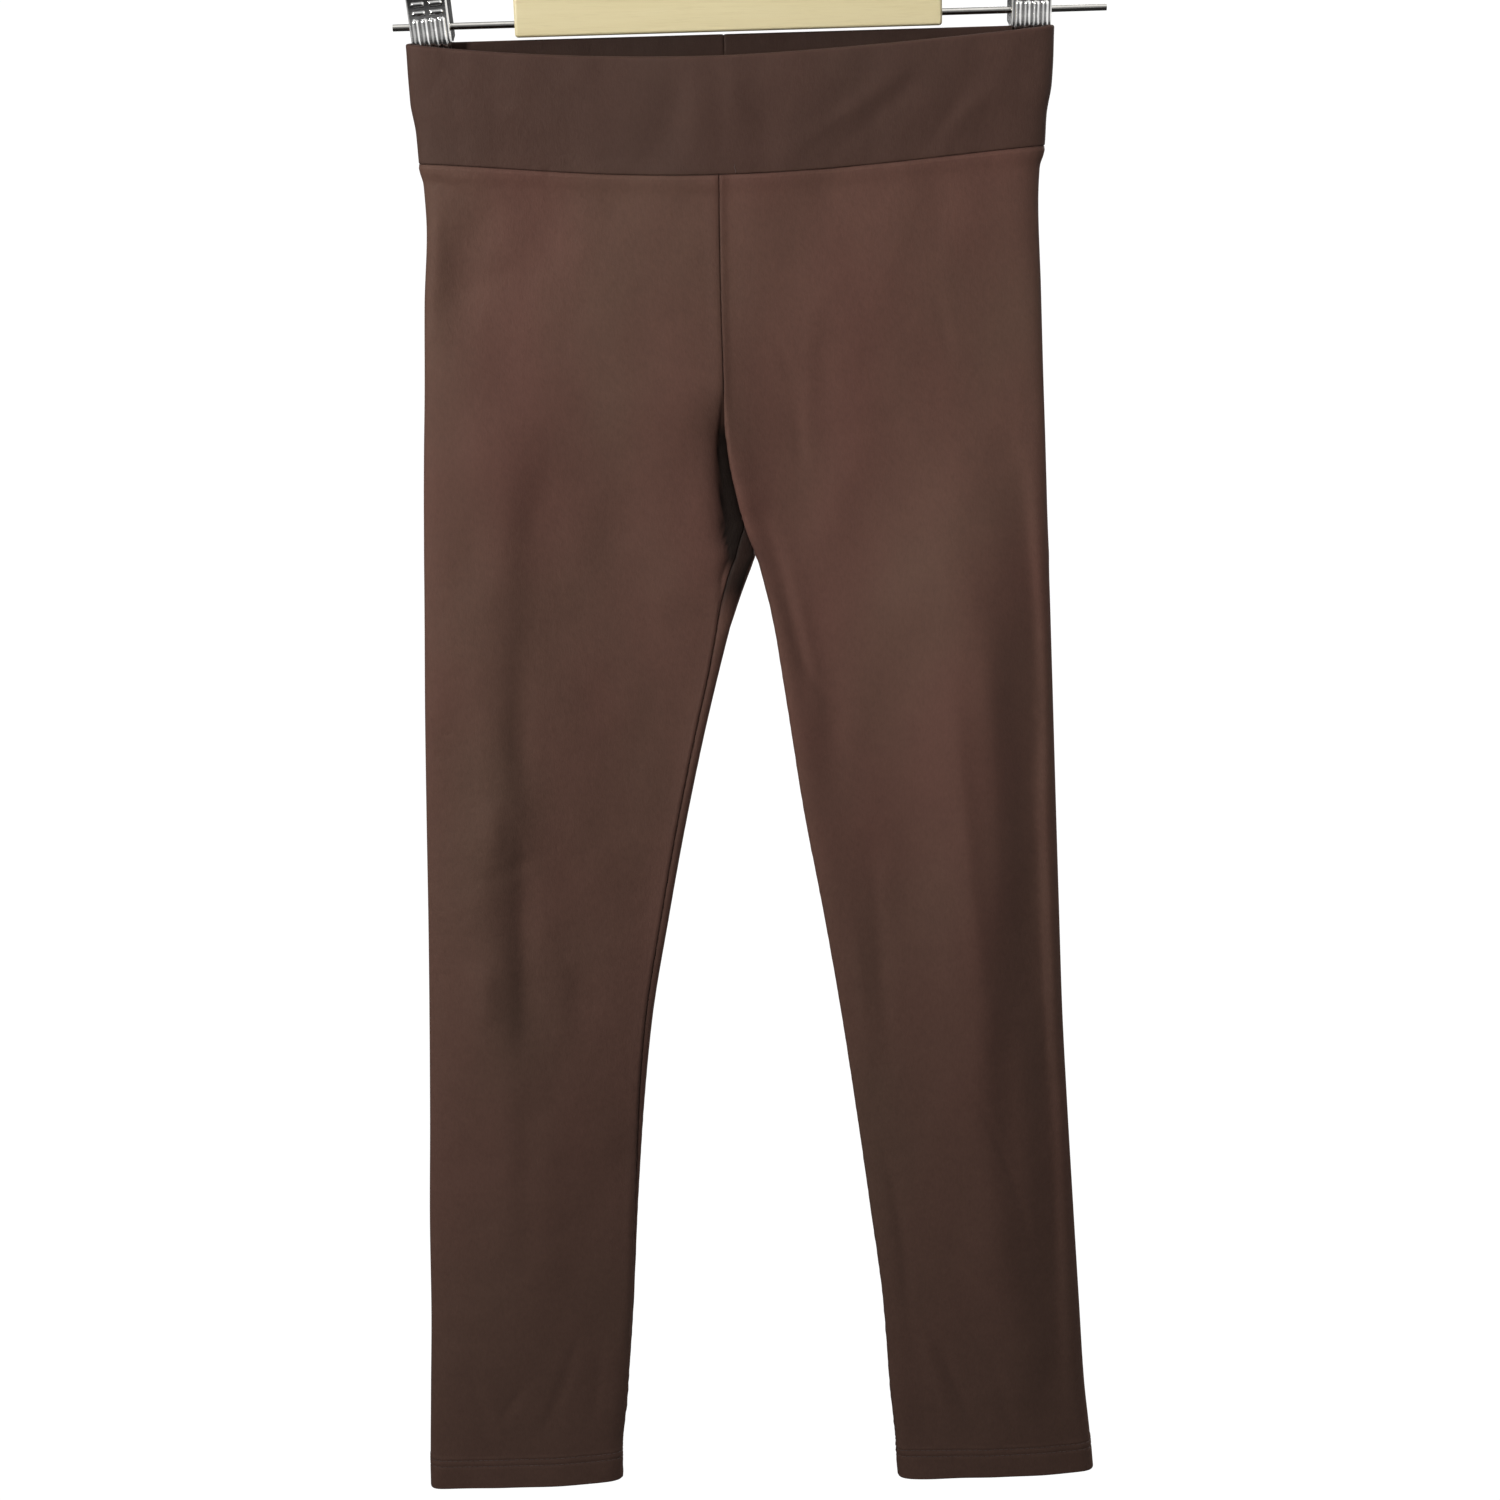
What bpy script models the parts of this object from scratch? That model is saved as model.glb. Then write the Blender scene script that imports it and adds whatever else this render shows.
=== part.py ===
"""Leggings hung by the waistband from a small clip hanger.

Metres, +Z up, +X to the viewer's right, the front of the garment faces -Y.
The origin is where the hook rests on a rail: the underside of its crown.
The wearer's right leg is at x < 0.

The cloth is one tubular surface, worked out from a table of horizontal
sections.  "drop" is the distance below the hook's rest.  Above the crotch a
section runs from the centre front round the outer fold to the centre back;
below it, a section is a flattened tube that closes at the inseam.  Each sewn
piece is a wall laid on that surface, 0.3 mm from its neighbours.  A leg is cut
in one piece of cloth; its solid is divided into four stretches, top to bottom,
each a short tube or trough that is open at both ends.
"""

import math

import bmesh
import bpy
import numpy as np

MM = 0.001

# ---------------------------------------------------------------- cloth sizes
WAIST_DROP = 157.5  # top edge of the waistband at the clips, mm below the rest
SEAM_DROP = 215.0  # waistband seam at the sides
JUNCTION_DROP = 402.0  # where the rise seams and the inseams meet
FORK_DROP = 419.5  # where daylight starts between the legs
HEM_DROP = {"right": 971.6, "left": 973.2}  # bottom edges of the hems
HEM_DEPTH = 21.0  # turned-up hem

BAND_WALL = 2.0  # two layers of knit, pressed
LEG_WALL = 1.2  # one layer of thick knit
HEM_WALL = 2.4  # two layers
SEAM_GAP = 0.3  # between sewn pieces

# Sections of the body and legs, all in mm.
#   out_r, in_r   outer fold and inner edge (or centre front) of the right leg
#   out_l, in_l   the same of the left leg
#   back          centre back above the junction (x)
#   mid           depth (y) of the side folds
#   side_f/b      half depth just inside a fold, front and back
#   bow_f/b       further bulge of the front and back between the folds
#   edge_o/i      roundness of the outer and inner folds (higher is squarer)
#   box           depth exponent of the outer fold: 2 round, 4 boxed by a clip
#   open_f/b      1 open at the centre, 0 drawn in to the side folds' depth
#   sag           how much lower the middle of the front hangs than its sides
SECTION_COLUMNS = (
    "drop", "out_r", "in_r", "out_l", "in_l", "back", "mid",
    "side_f", "side_b", "bow_f", "bow_b", "edge_o", "edge_r", "edge_l",
    "box", "open_f", "open_b", "sag",
)  # fmt: skip
SECTIONS = (
    # drop out_r   in_r   out_l  in_l  back  mid  sf   sb   bf    bb   eo  er  el  box  of   ob   sag
    (150.0, -157.8, -5.0, 157.9, -5.0, -2.5, -5.2, 7.2, 7.3, 12.0, 0.0, 60, 30, 30, 4.0, 1.0, 1.0, 9.6),
    (157.5, -157.8, -5.4, 157.9, -5.4, -2.5, -5.2, 7.2, 7.3, 12.0, 0.0, 60, 30, 30, 4.0, 1.0, 1.0, 9.4),
    (170.0, -157.9, -5.8, 158.6, -5.8, -2.5, -5.0, 7.0, 7.1, 12.5, 0.4, 58, 30, 30, 3.8, 1.0, 1.0, 9.2),
    (185.0, -157.8, -6.2, 158.0, -6.2, -2.5, -4.6, 6.4, 6.4, 12.8, 1.4, 50, 30, 30, 3.0, 1.0, 1.0, 9.0),
    (200.0, -156.1, -6.6, 156.0, -6.6, -2.5, -4.0, 5.8, 5.8, 13.0, 2.8, 44, 30, 30, 2.4, 1.0, 1.0, 8.8),
    (215.0, -155.7, -6.9, 155.3, -6.9, -2.5, -3.4, 5.4, 5.4, 13.2, 4.2, 40, 30, 30, 2.1, 1.0, 1.0, 8.6),
    (226.0, -154.2, -7.1, 152.9, -7.1, -2.5, -3.0, 4.8, 4.8, 13.2, 5.0, 40, 30, 30, 2.0, 1.0, 1.0, 8.4),
    (240.0, -154.0, -7.4, 152.4, -7.4, -2.5, -2.6, 4.6, 4.6, 13.2, 6.0, 40, 30, 30, 2.0, 1.0, 1.0, 8.0),
    (285.0, -157.9, -7.9, 154.1, -7.9, -2.3, -1.6, 4.4, 4.4, 13.0, 7.6, 40, 24, 30, 2.0, 1.0, 1.0, 6.4),
    (330.0, -161.0, -7.9, 155.7, -7.9, -1.8, -0.8, 4.2, 4.2, 12.2, 8.2, 40, 14, 30, 2.0, 0.94, 0.95, 4.4),
    (360.0, -163.4, -6.0, 156.9, -6.0, -1.2, -0.4, 4.2, 4.2, 11.2, 8.2, 40, 10, 28, 2.0, 0.66, 0.74, 3.0),
    (385.0, -165.2, -2.6, 157.8, -2.6, -0.2, -0.2, 4.2, 4.2, 10.2, 8.2, 40, 9, 26, 2.0, 0.28, 0.32, 1.6),
    (402.0, -166.3, 0.8, 158.4, 0.8, 0.8, 0.0, 4.2, 4.2, 9.6, 8.2, 40, 9, 26, 2.0, 0.0, 0.0, 0.8),
    (419.5, -167.4, 6.4, 159.2, 6.4, 6.4, 0.0, 4.2, 4.2, 9.4, 8.2, 40, 10, 26, 2.0, 0.0, 0.0, 0.3),
    (423.0, -167.6, 5.0, 159.4, 7.2, 0.0, 0.0, 4.2, 4.2, 9.3, 8.2, 40, 11, 26, 2.0, 0.0, 0.0, 0.1),
    (430.0, -168.0, 2.0, 159.5, 8.7, 0.0, 0.0, 4.2, 4.2, 9.2, 8.2, 40, 12, 26, 2.0, 0.0, 0.0, 0.0),
    (450.0, -169.2, -5.5, 160.2, 13.1, 0.0, 0.0, 4.2, 4.2, 9.0, 8.0, 40, 14, 26, 2.0, 0.0, 0.0, 0.0),
    (500.0, -172.3, -19.8, 162.0, 20.1, 0.0, 0.0, 4.2, 4.2, 8.8, 7.8, 40, 18, 26, 2.0, 0.0, 0.0, 0.0),
    (560.0, -175.5, -34.2, 164.1, 27.8, 0.0, 0.0, 4.2, 4.2, 8.6, 7.6, 38, 20, 26, 2.0, 0.0, 0.0, 0.0),
    (620.0, -178.5, -46.8, 166.3, 37.4, 0.0, 0.0, 4.2, 4.2, 8.4, 7.4, 36, 22, 26, 2.0, 0.0, 0.0, 0.0),
    (680.0, -181.9, -58.4, 168.6, 46.1, 0.0, 0.0, 4.2, 4.2, 8.2, 7.2, 34, 24, 26, 2.0, 0.0, 0.0, 0.0),
    (740.0, -185.6, -66.0, 172.0, 53.6, 0.0, 0.0, 4.4, 4.4, 8.0, 7.0, 32, 24, 26, 2.0, 0.0, 0.0, 0.0),
    (800.0, -189.7, -71.7, 175.8, 60.5, 0.0, 0.0, 4.6, 4.6, 7.8, 6.8, 30, 26, 26, 2.0, 0.0, 0.0, 0.0),
    (860.0, -192.8, -76.4, 179.7, 67.0, 0.0, 0.0, 4.8, 4.8, 7.4, 6.6, 28, 26, 28, 2.0, 0.0, 0.0, 0.0),
    (915.0, -196.8, -81.8, 183.4, 70.2, 0.0, 0.0, 5.2, 5.2, 7.0, 6.4, 26, 28, 30, 2.0, 0.0, 0.0, 0.0),
    (951.0, -199.3, -86.4, 187.2, 73.3, 0.0, 0.0, 5.8, 5.8, 6.6, 6.0, 24, 30, 34, 2.0, 0.0, 0.0, 0.0),
    (972.0, -200.2, -87.6, 189.0, 74.4, 0.0, 0.0, 6.2, 6.2, 6.2, 5.8, 24, 30, 36, 2.0, 0.0, 0.0, 0.0),
    (985.0, -201.0, -88.4, 190.2, 75.2, 0.0, 0.0, 6.4, 6.4, 6.2, 5.8, 24, 30, 36, 2.0, 0.0, 0.0, 0.0),
)

# The front's top edge droops evenly on one side and almost straight on the other.
SAG_POWER = {"right": 2.1, "left": 1.45}

# Where the inseam lies, mm round from the inner fold on to the front.
INSEAM_COLUMNS = ("drop", "right", "left")
INSEAM = (
    (402.0, 0.0, 0.0),
    (419.5, 12.0, -1.0),
    (430.0, 12.6, -2.0),
    (450.0, 9.8, -2.5),
    (500.0, 6.4, -3.0),
    (600.0, 6.0, -3.0),
    (700.0, 5.4, -3.0),
    (785.0, 2.8, -2.5),
    (860.0, 0.5, -1.0),
    (972.0, 0.0, 2.0),
)

# The largest folds: soft troughs along a line through three points.
#   leg, face     which wall
#   x*, d*        side-to-side place and drop of the top, middle and bottom
#   half_width    distance at which the trough has faded
#   depth         how far the middle of it lies in
FOLD_COLUMNS = ("leg", "face", "x1", "d1", "x2", "d2", "x3", "d3", "half_width", "depth")
FOLDS = (
    ("right", "front", -95.0, 350.0, -113.0, 500.0, -118.0, 650.0, 26.0, 2.6),
    ("right", "front", -126.0, 560.0, -130.0, 620.0, -122.0, 700.0, 16.0, 1.8),
    ("right", "front", -118.0, 228.0, -135.0, 262.0, -146.0, 300.0, 20.0, 1.6),
    ("left", "front", 132.0, 430.0, 145.0, 560.0, 142.0, 690.0, 17.0, 3.0),
    ("left", "front", 140.0, 660.0, 138.0, 760.0, 160.0, 880.0, 15.0, 2.4),
    ("left", "front", 30.0, 440.0, 44.0, 500.0, 42.0, 560.0, 15.0, 1.5),
    ("right", "back", -105.0, 330.0, -92.0, 470.0, -112.0, 640.0, 24.0, 2.4),
    ("right", "back", -60.0, 430.0, -80.0, 520.0, -92.0, 600.0, 16.0, 1.8),
    ("right", "back", -135.0, 700.0, -128.0, 790.0, -140.0, 880.0, 15.0, 1.8),
    ("left", "back", 112.0, 360.0, 98.0, 500.0, 108.0, 660.0, 24.0, 2.4),
    ("left", "back", 40.0, 430.0, 60.0, 510.0, 66.0, 590.0, 15.0, 1.8),
    ("left", "back", 122.0, 720.0, 116.0, 810.0, 128.0, 890.0, 15.0, 1.8),
)

# Rows of the walls (drops) and the number of steps from seam to outer fold.
BAND_ROWS = (157.5, 165.0, 177.0, 190.0, 203.0, SEAM_DROP - SEAM_GAP)
LEG_ROWS = (
    215.0, 221.0, 229.0, 242.0, 262.0, 285.0, 308.0, 330.0, 347.0, 362.0, 376.0,
    388.0, 397.0, 402.0, 408.0, 414.0, 419.5, 424.0, 432.0, 446.0, 465.0, 490.0, 520.0, 550.0,
    580.0, 612.0, 645.0, 680.0, 715.0, 750.0, 785.0, 822.0, 860.0, 895.0, 925.0,
)  # fmt: skip
HEM_ROWS = (-HEM_DEPTH - 0.6, -HEM_DEPTH + 0.6, 0.0)  # from each hem's edge
LEG_CUTS = (424.0, 612.0, 785.0)  # where a leg's wall is divided
LEG_STRETCHES = ("hip", "thigh", "knee", "calf")
BAND_STEPS = 14
LEG_STEPS = 13

# --------------------------------------------------------------- hanger sizes
ROD_DROP = 150.0  # centre of the rod below the hook's rest
ROD_DIAMETER = 3.3
ROD_LEFT, ROD_RIGHT = -164.5, 185.5  # the rod stands off centre, as it slides
BODY_HALF = 104.5
BODY_BOTTOM = 156.2  # drop of the bar's underside
BODY_END = 26.0  # height of the bar's ends
BODY_MIDDLE = 46.0  # height of the bar's middle
BODY_THICK = 13.0
BODY_EDGE = 1.5  # rounded edges
HOLE_GAP = 0.35  # clearance of the bored holes, all round

HOOK_WIRE = 3.6
HOOK_RADIUS = 21.0  # of the wire's centre line over the crown
HOOK_SET = 11.0  # how deep the shank sits in the bar
HOOK_SIDES = 2

CLIP_PLATE = 16.6  # width of a jaw's face
CLIP_WALL = 0.9
CLIP_SPLAY = 2.0  # how far each flange leans out at its rear edge
CLIP_FLANGE_BACK = 4.2  # rear edge of the front jaw's flanges (y)
CLIP_INSET = 1.5  # how much narrower the rear jaw is, each side
JAW_TAPER = 1.4  # how much a jaw narrows below the band's edge, each side
SPRING_OUTER, SPRING_LENGTH = 7.0, 8.0
RIBS = 4
RIB_PITCH = 3.7
RIB_WIDTH = 2.0
RIB_HEIGHT = 0.7
RIBS_TOP, RIBS_BOTTOM = 143.0, 160.5

# Profile of a jaw's face, seen from the side: y of the face in front of the
# pinched cloth's middle, at each drop.
JAW_COLUMNS = ("drop", "stand_off")
JAW = (
    (122.0, 13.6),
    (132.0, 12.2),
    (141.0, 11.2),
    (150.0, 10.6),
    (156.4, 9.4),
    (165.0, 6.6),
    (172.0, 3.7),
    (176.5, 2.6),
)
FLANGE_TOP, FLANGE_BOTTOM = 126.0, 155.0
JAW_ROWS = (122.0, 126.0, 134.0, 141.0, 146.0, 150.5, 155.0, 156.6, 160.0, 167.0, 176.5)
PINCH_MID = 1.1  # y of the middle of the pinched back layer of the band

# Where each clip sits on the rod (x), and its lean to the viewer's left.
CLIP_COLUMNS = ("name", "x", "lean_degrees")
CLIPS = (
    ("clip_right", -147.0, 4.0),
    ("clip_left", 146.6, -1.0),
)

KNIT = ("dark_brown_knit", (0.083, 0.047, 0.038, 1.0), 0.62, 0.0)
WOOD = ("pale_wood", (0.69, 0.58, 0.36, 1.0), 0.5, 0.0)
STEEL = ("bright_steel", (0.62, 0.61, 0.59, 1.0), 0.22, 1.0)


# -------------------------------------------------------------- table reading
def smooth_track(drops, values, at):
    """Values between the rows of a table, on a smooth curve with no overshoot."""
    x = np.asarray(drops, float)
    v = np.asarray(values, float)
    step = np.diff(x)
    rise = np.diff(v) / step
    slope = np.zeros_like(v)
    same = rise[:-1] * rise[1:] > 0
    w1 = 2 * step[1:] + step[:-1]
    w2 = step[1:] + 2 * step[:-1]
    a, b = rise[:-1][same], rise[1:][same]
    slope[1:-1][same] = (w1 + w2)[same] / (w1[same] / a + w2[same] / b)
    slope[0], slope[-1] = rise[0], rise[-1]
    at = np.clip(at, x[0], x[-1])
    i = np.clip(np.searchsorted(x, at, side="right") - 1, 0, len(step) - 1)
    h = step[i]
    t = (at - x[i]) / h
    return (
        v[i] * (1 + 2 * t) * (1 - t) ** 2
        + v[i + 1] * t * t * (3 - 2 * t)
        + h * t * (1 - t) * (slope[i] * (1 - t) - slope[i + 1] * t)
    )


def column(table, columns, name):
    return [row[columns.index(name)] for row in table]


def section_value(name, drop):
    return float(
        smooth_track(
            column(SECTIONS, SECTION_COLUMNS, "drop"),
            column(SECTIONS, SECTION_COLUMNS, name),
            drop,
        )
    )


def inseam_turn(leg, drop):
    return float(
        smooth_track(
            column(INSEAM, INSEAM_COLUMNS, "drop"),
            column(INSEAM, INSEAM_COLUMNS, leg),
            drop,
        )
    )


# ------------------------------------------------------------- cloth surface
def fold_line(fold):
    """Points along a fold's line, and how far along it each one is."""
    f = dict(zip(FOLD_COLUMNS, fold))
    t = np.linspace(0.0, 1.0, 41)
    x = (1 - t) * (1 - 2 * t) * f["x1"] + 4 * t * (1 - t) * f["x2"] + t * (2 * t - 1) * f["x3"]
    d = (1 - t) * (1 - 2 * t) * f["d1"] + 4 * t * (1 - t) * f["d2"] + t * (2 * t - 1) * f["d3"]
    return f, t, x, d


FOLD_LINES = [fold_line(fold) for fold in FOLDS]


def fold_depth(leg, face, x, drop):
    """How far the folds draw a point of the wall in."""
    total = np.zeros_like(x)
    for f, t, fx, fd in FOLD_LINES:
        if f["leg"] != leg or f["face"] != face:
            continue
        far = (x[:, None] - fx) ** 2 + (drop - fd) ** 2
        near = far.argmin(axis=1)
        across = np.sqrt(far[np.arange(len(x)), near]) / f["half_width"]
        along = np.sin(np.pi * np.clip(t[near], 0.02, 0.98)) ** 0.7
        total += f["depth"] * along * np.exp(-2.2 * across**2)
    return total


def section_loop(leg, drop):
    """One leg's section as points from the inner edge along the front to the
    outer fold, and back to the inner edge: x, y, sag of each, and the number
    of points on the front."""
    value = {name: section_value(name, drop) for name in SECTION_COLUMNS[1:]}
    right = leg == "right"
    inner = value["in_r"] if right else value["in_l"]
    outer = value["out_r"] if right else value["out_l"]
    roundness = value["edge_r"] if right else value["edge_l"]
    behind = value["back"] if drop < FORK_DROP else inner
    shift = -SEAM_GAP / 2 if right else SEAM_GAP / 2
    # s runs from 0 at the inner edge to 1 at the outer fold, dense at both.
    tau = np.linspace(0.0, 1.0, 161)
    s = np.where(tau < 0.5, 4 * tau**3, 1 - 4 * (1 - tau) ** 3)
    points = []
    for face in ("front", "back"):
        start = (inner if face == "front" else behind) + shift
        x = start + (outer - start) * s
        opened = value["open_f"] if face == "front" else value["open_b"]
        at_fold = (1 - s ** value["edge_o"]) ** (1 / value["box"])
        at_inner = np.sqrt(1 - (1 - s) ** roundness)
        bow = opened * (1 - s * s) + (1 - opened) * 4 * s * (1 - s)
        f = face[0]
        depth = (
            at_fold
            * (opened + (1 - opened) * at_inner)
            * (value["side_" + f] + value["bow_" + f] * bow)
        )
        dent = fold_depth(leg, face, x, drop) * at_fold * (opened + (1 - opened) * at_inner)
        sign = -1 if face == "front" else 1
        y = value["mid"] + sign * (depth - dent)
        low = min(max((drop - WAIST_DROP) / (SEAM_DROP - WAIST_DROP), 0.0), 1.0)
        droop = (1 - low) * (1 - s ** SAG_POWER[leg]) + low * (1 - s * s) ** 1.5
        sag = value["sag"] * droop * at_fold if face == "front" else 0 * s
        points.append(np.column_stack([x, y, sag]))
    front, back = points
    return np.vstack([front, back[::-1][1:]]), len(front)


def leg_row(leg, drop, steps, move=0.0):
    """Points of the outer face of one leg at one drop, seam edge to seam edge:
    front edge, round the outer fold, back edge.  move slides them along the
    row, in mm, which gives the direction of the row at each point."""
    loop, n_front = section_loop(leg, drop)
    length = np.concatenate([[0.0], np.cumsum(np.hypot(*np.diff(loop[:, :2], axis=0).T))])
    fold = length[n_front - 1]
    end = length[-1]
    closed = drop >= JUNCTION_DROP
    if closed:
        loop = np.vstack([loop[:-1], loop, loop[1:]])
        length = np.concatenate([length[:-1] - end, length, length[1:] + end])
    turn = inseam_turn(leg, drop) if closed else 0.0
    step = (1 - np.cos(np.pi * np.arange(steps + 1) / steps)) / 2
    first, last = turn + SEAM_GAP / 2, end + turn - SEAM_GAP / 2
    along = np.concatenate([first + (fold - first) * step, fold + (last - fold) * step[1:]])
    along = along + move
    if not closed:
        along = np.clip(along, 0.0, end)
    x, y, sag = (np.interp(along, length, loop[:, k]) for k in range(3))
    return np.column_stack([x, y, -drop - sag])


def leg_surface(leg, drops, steps):
    """Grid of outer points and of outward directions, rows by columns."""
    points, outward = [], []
    for drop in drops:
        row = leg_row(leg, drop, steps)
        along = leg_row(leg, drop, steps, 0.4) - leg_row(leg, drop, steps, -0.4)
        down = leg_row(leg, drop + 0.5, steps) - leg_row(leg, drop - 0.5, steps)
        n = np.cross(along, down) * (1 if leg == "right" else -1)
        points.append(row)
        outward.append(n / np.linalg.norm(n, axis=1)[:, None])
    return np.array(points), np.array(outward)


# ------------------------------------------------------------- building solids
def material(spec):
    name, colour, roughness, metallic = spec
    made = bpy.data.materials.get(name)
    if made is None:
        made = bpy.data.materials.new(name)
        made.use_nodes = True
        shader = made.node_tree.nodes["Principled BSDF"]
        shader.inputs["Base Color"].default_value = colour
        shader.inputs["Roughness"].default_value = roughness
        shader.inputs["Metallic"].default_value = metallic
    return made


def add_object(name, mesh, spec, collection, smooth_angle=None):
    obj = bpy.data.objects.new(name, mesh)
    collection.objects.link(obj)
    if mesh.materials:
        mesh.materials.clear()
    mesh.materials.append(material(spec))
    if smooth_angle is not None:
        mesh.shade_smooth()
        mesh.set_sharp_from_angle(angle=math.radians(smooth_angle))
    return obj


def wall(name, outer, inner, spec, collection, ring=False):
    """Closed wall between two grids of points (rows by columns, in mm)."""
    rows, cols = outer.shape[:2]
    bm = bmesh.new()
    face_a = [[bm.verts.new(p * MM) for p in row] for row in outer]
    face_b = [[bm.verts.new(p * MM) for p in row] for row in inner]
    across = [(c, (c + 1) % cols) for c in range(cols if ring else cols - 1)]
    for r in range(rows - 1):
        for c, e in across:
            a, b = face_a[r], face_a[r + 1]
            bm.faces.new((a[c], b[c], b[e], a[e]))
            a, b = face_b[r], face_b[r + 1]
            bm.faces.new((a[c], a[e], b[e], b[c]))
    for c, e in across:
        bm.faces.new((face_a[0][c], face_a[0][e], face_b[0][e], face_b[0][c]))
        bm.faces.new((face_a[-1][e], face_a[-1][c], face_b[-1][c], face_b[-1][e]))
    if not ring:
        for r in range(rows - 1):
            bm.faces.new((face_a[r][0], face_b[r][0], face_b[r + 1][0], face_a[r + 1][0]))
            bm.faces.new((face_a[r + 1][-1], face_b[r + 1][-1], face_b[r][-1], face_a[r][-1]))
    bmesh.ops.recalc_face_normals(bm, faces=bm.faces)
    if bm.calc_volume(signed=True) < 0:
        bmesh.ops.reverse_faces(bm, faces=bm.faces)
    mesh = bpy.data.meshes.new(name)
    bm.to_mesh(mesh)
    bm.free()
    return add_object(name, mesh, spec, collection, 35)


def make_waistband(collection):
    r_points, r_out = leg_surface("right", BAND_ROWS, BAND_STEPS)
    l_points, l_out = leg_surface("left", BAND_ROWS, BAND_STEPS)
    # centre back, right side, centre front (one shared column), left side, centre back
    centre = (r_points[:, :1] + l_points[:, :1]) / 2
    facing = r_out[:, :1] + l_out[:, :1]
    facing /= np.linalg.norm(facing, axis=2)[:, :, None]
    points = np.concatenate([r_points[:, ::-1][:, :-1], centre, l_points[:, 1:]], axis=1)
    outward = np.concatenate([r_out[:, ::-1][:, :-1], facing, l_out[:, 1:]], axis=1)
    inner = points - outward * BAND_WALL
    inner[:, :, 2] = points[:, :, 2]
    return wall("waistband", points, inner, KNIT, collection)


def make_leg(leg, collection):
    """One leg, as stretches that follow each other with the usual gap."""
    rows = np.array(LEG_ROWS + tuple(HEM_DROP[leg] + step for step in HEM_ROWS))
    ends = (rows[0],) + LEG_CUTS + (rows[-1],)
    for k, stretch in enumerate(LEG_STRETCHES):
        top, bottom = ends[k], ends[k + 1]
        first = top + (SEAM_GAP / 2 if k else 0.0)
        last = bottom - (SEAM_GAP / 2 if k < len(LEG_CUTS) else 0.0)
        between = rows[(rows > top + 1) & (rows < bottom - 0.5)]
        drops = np.concatenate([[first], between, [last]])
        points, outward = leg_surface(leg, drops, LEG_STEPS)
        hem = drops > HEM_DROP[leg] - HEM_DEPTH
        thick = np.where(hem, HEM_WALL, LEG_WALL)[:, None, None]
        inner = points - outward * thick
        for edge in (0, -1):
            inner[edge, :, 2] = points[edge, :, 2]
        wall("leg_" + leg + "_" + stretch, points, inner, KNIT, collection)


# --------------------------------------------------------------------- hanger
def turned_off(obj, cutters):
    obj.hide_render = True
    obj.display_type = "WIRE"
    cutters.objects.link(obj)


def cylinder_mesh(name, radius, length, sides=32):
    bm = bmesh.new()
    bmesh.ops.create_cone(
        bm, cap_ends=True, segments=sides, radius1=radius, radius2=radius, depth=length
    )
    mesh = bpy.data.meshes.new(name)
    bm.to_mesh(mesh)
    bm.free()
    return mesh


def cutter(name, radius, length, place, axis, cutters):
    obj = bpy.data.objects.new(name, cylinder_mesh(name, radius, length))
    obj.location = place
    if axis == "X":
        obj.rotation_euler = (0, math.pi / 2, 0)
    turned_off(obj, cutters)
    return obj


def cut(obj, other):
    modifier = obj.modifiers.new("cut_" + other.name, "BOOLEAN")
    modifier.operation = "DIFFERENCE"
    modifier.solver = "EXACT"
    modifier.object = other


def make_body(collection, cutters):
    """The bar: a flat outline, straight below and gently arched above."""
    half, bottom = BODY_HALF * MM, -BODY_BOTTOM * MM
    outline = [(-half, bottom), (half, bottom)]
    for k in range(25):
        x = half * (1 - 2 * k / 24)
        rise = BODY_END + (BODY_MIDDLE - BODY_END) * math.cos(math.pi * x / (2 * half)) ** 1.4
        outline.append((x, bottom + rise * MM))
    bm = bmesh.new()
    face = bm.faces.new([bm.verts.new((x, -BODY_THICK * MM / 2, z)) for x, z in outline])
    made = bmesh.ops.extrude_face_region(bm, geom=[face])
    moved = [v for v in made["geom"] if isinstance(v, bmesh.types.BMVert)]
    bmesh.ops.translate(bm, verts=moved, vec=(0, BODY_THICK * MM, 0))
    bmesh.ops.recalc_face_normals(bm, faces=bm.faces)
    mesh = bpy.data.meshes.new("hanger_body")
    bm.to_mesh(mesh)
    bm.free()
    obj = add_object("hanger_body", mesh, WOOD, collection, 40)
    edge = obj.modifiers.new("edges", "BEVEL")
    edge.width = BODY_EDGE * MM
    edge.segments = 2
    edge.limit_method = "ANGLE"
    edge.angle_limit = math.radians(50)
    bore = cutter(
        "bore_rod", (ROD_DIAMETER / 2 + HOLE_GAP) * MM, 3 * half, (0, 0, -ROD_DROP * MM), "X", cutters
    )
    top = BODY_BOTTOM - BODY_MIDDLE
    hole = cutter(
        "bore_hook",
        (HOOK_WIRE / 2 + HOLE_GAP) * MM,
        (HOOK_SET + 0.5) * 2 * MM,
        (0, 0, -top * MM),
        "Z",
        cutters,
    )
    cut(obj, bore)
    cut(obj, hole)
    return obj


def wire(name, points, diameter, spec, collection, sides):
    curve = bpy.data.curves.new(name, "CURVE")
    curve.dimensions = "3D"
    spline = curve.splines.new("POLY")
    spline.points.add(len(points) - 1)
    for target, point in zip(spline.points, points):
        target.co = (*(c * MM for c in point), 1.0)
    curve.bevel_depth = diameter * MM / 2
    curve.bevel_resolution = sides
    curve.use_fill_caps = True
    curve.materials.append(material(spec))
    obj = bpy.data.objects.new(name, curve)
    collection.objects.link(obj)
    return obj


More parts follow.
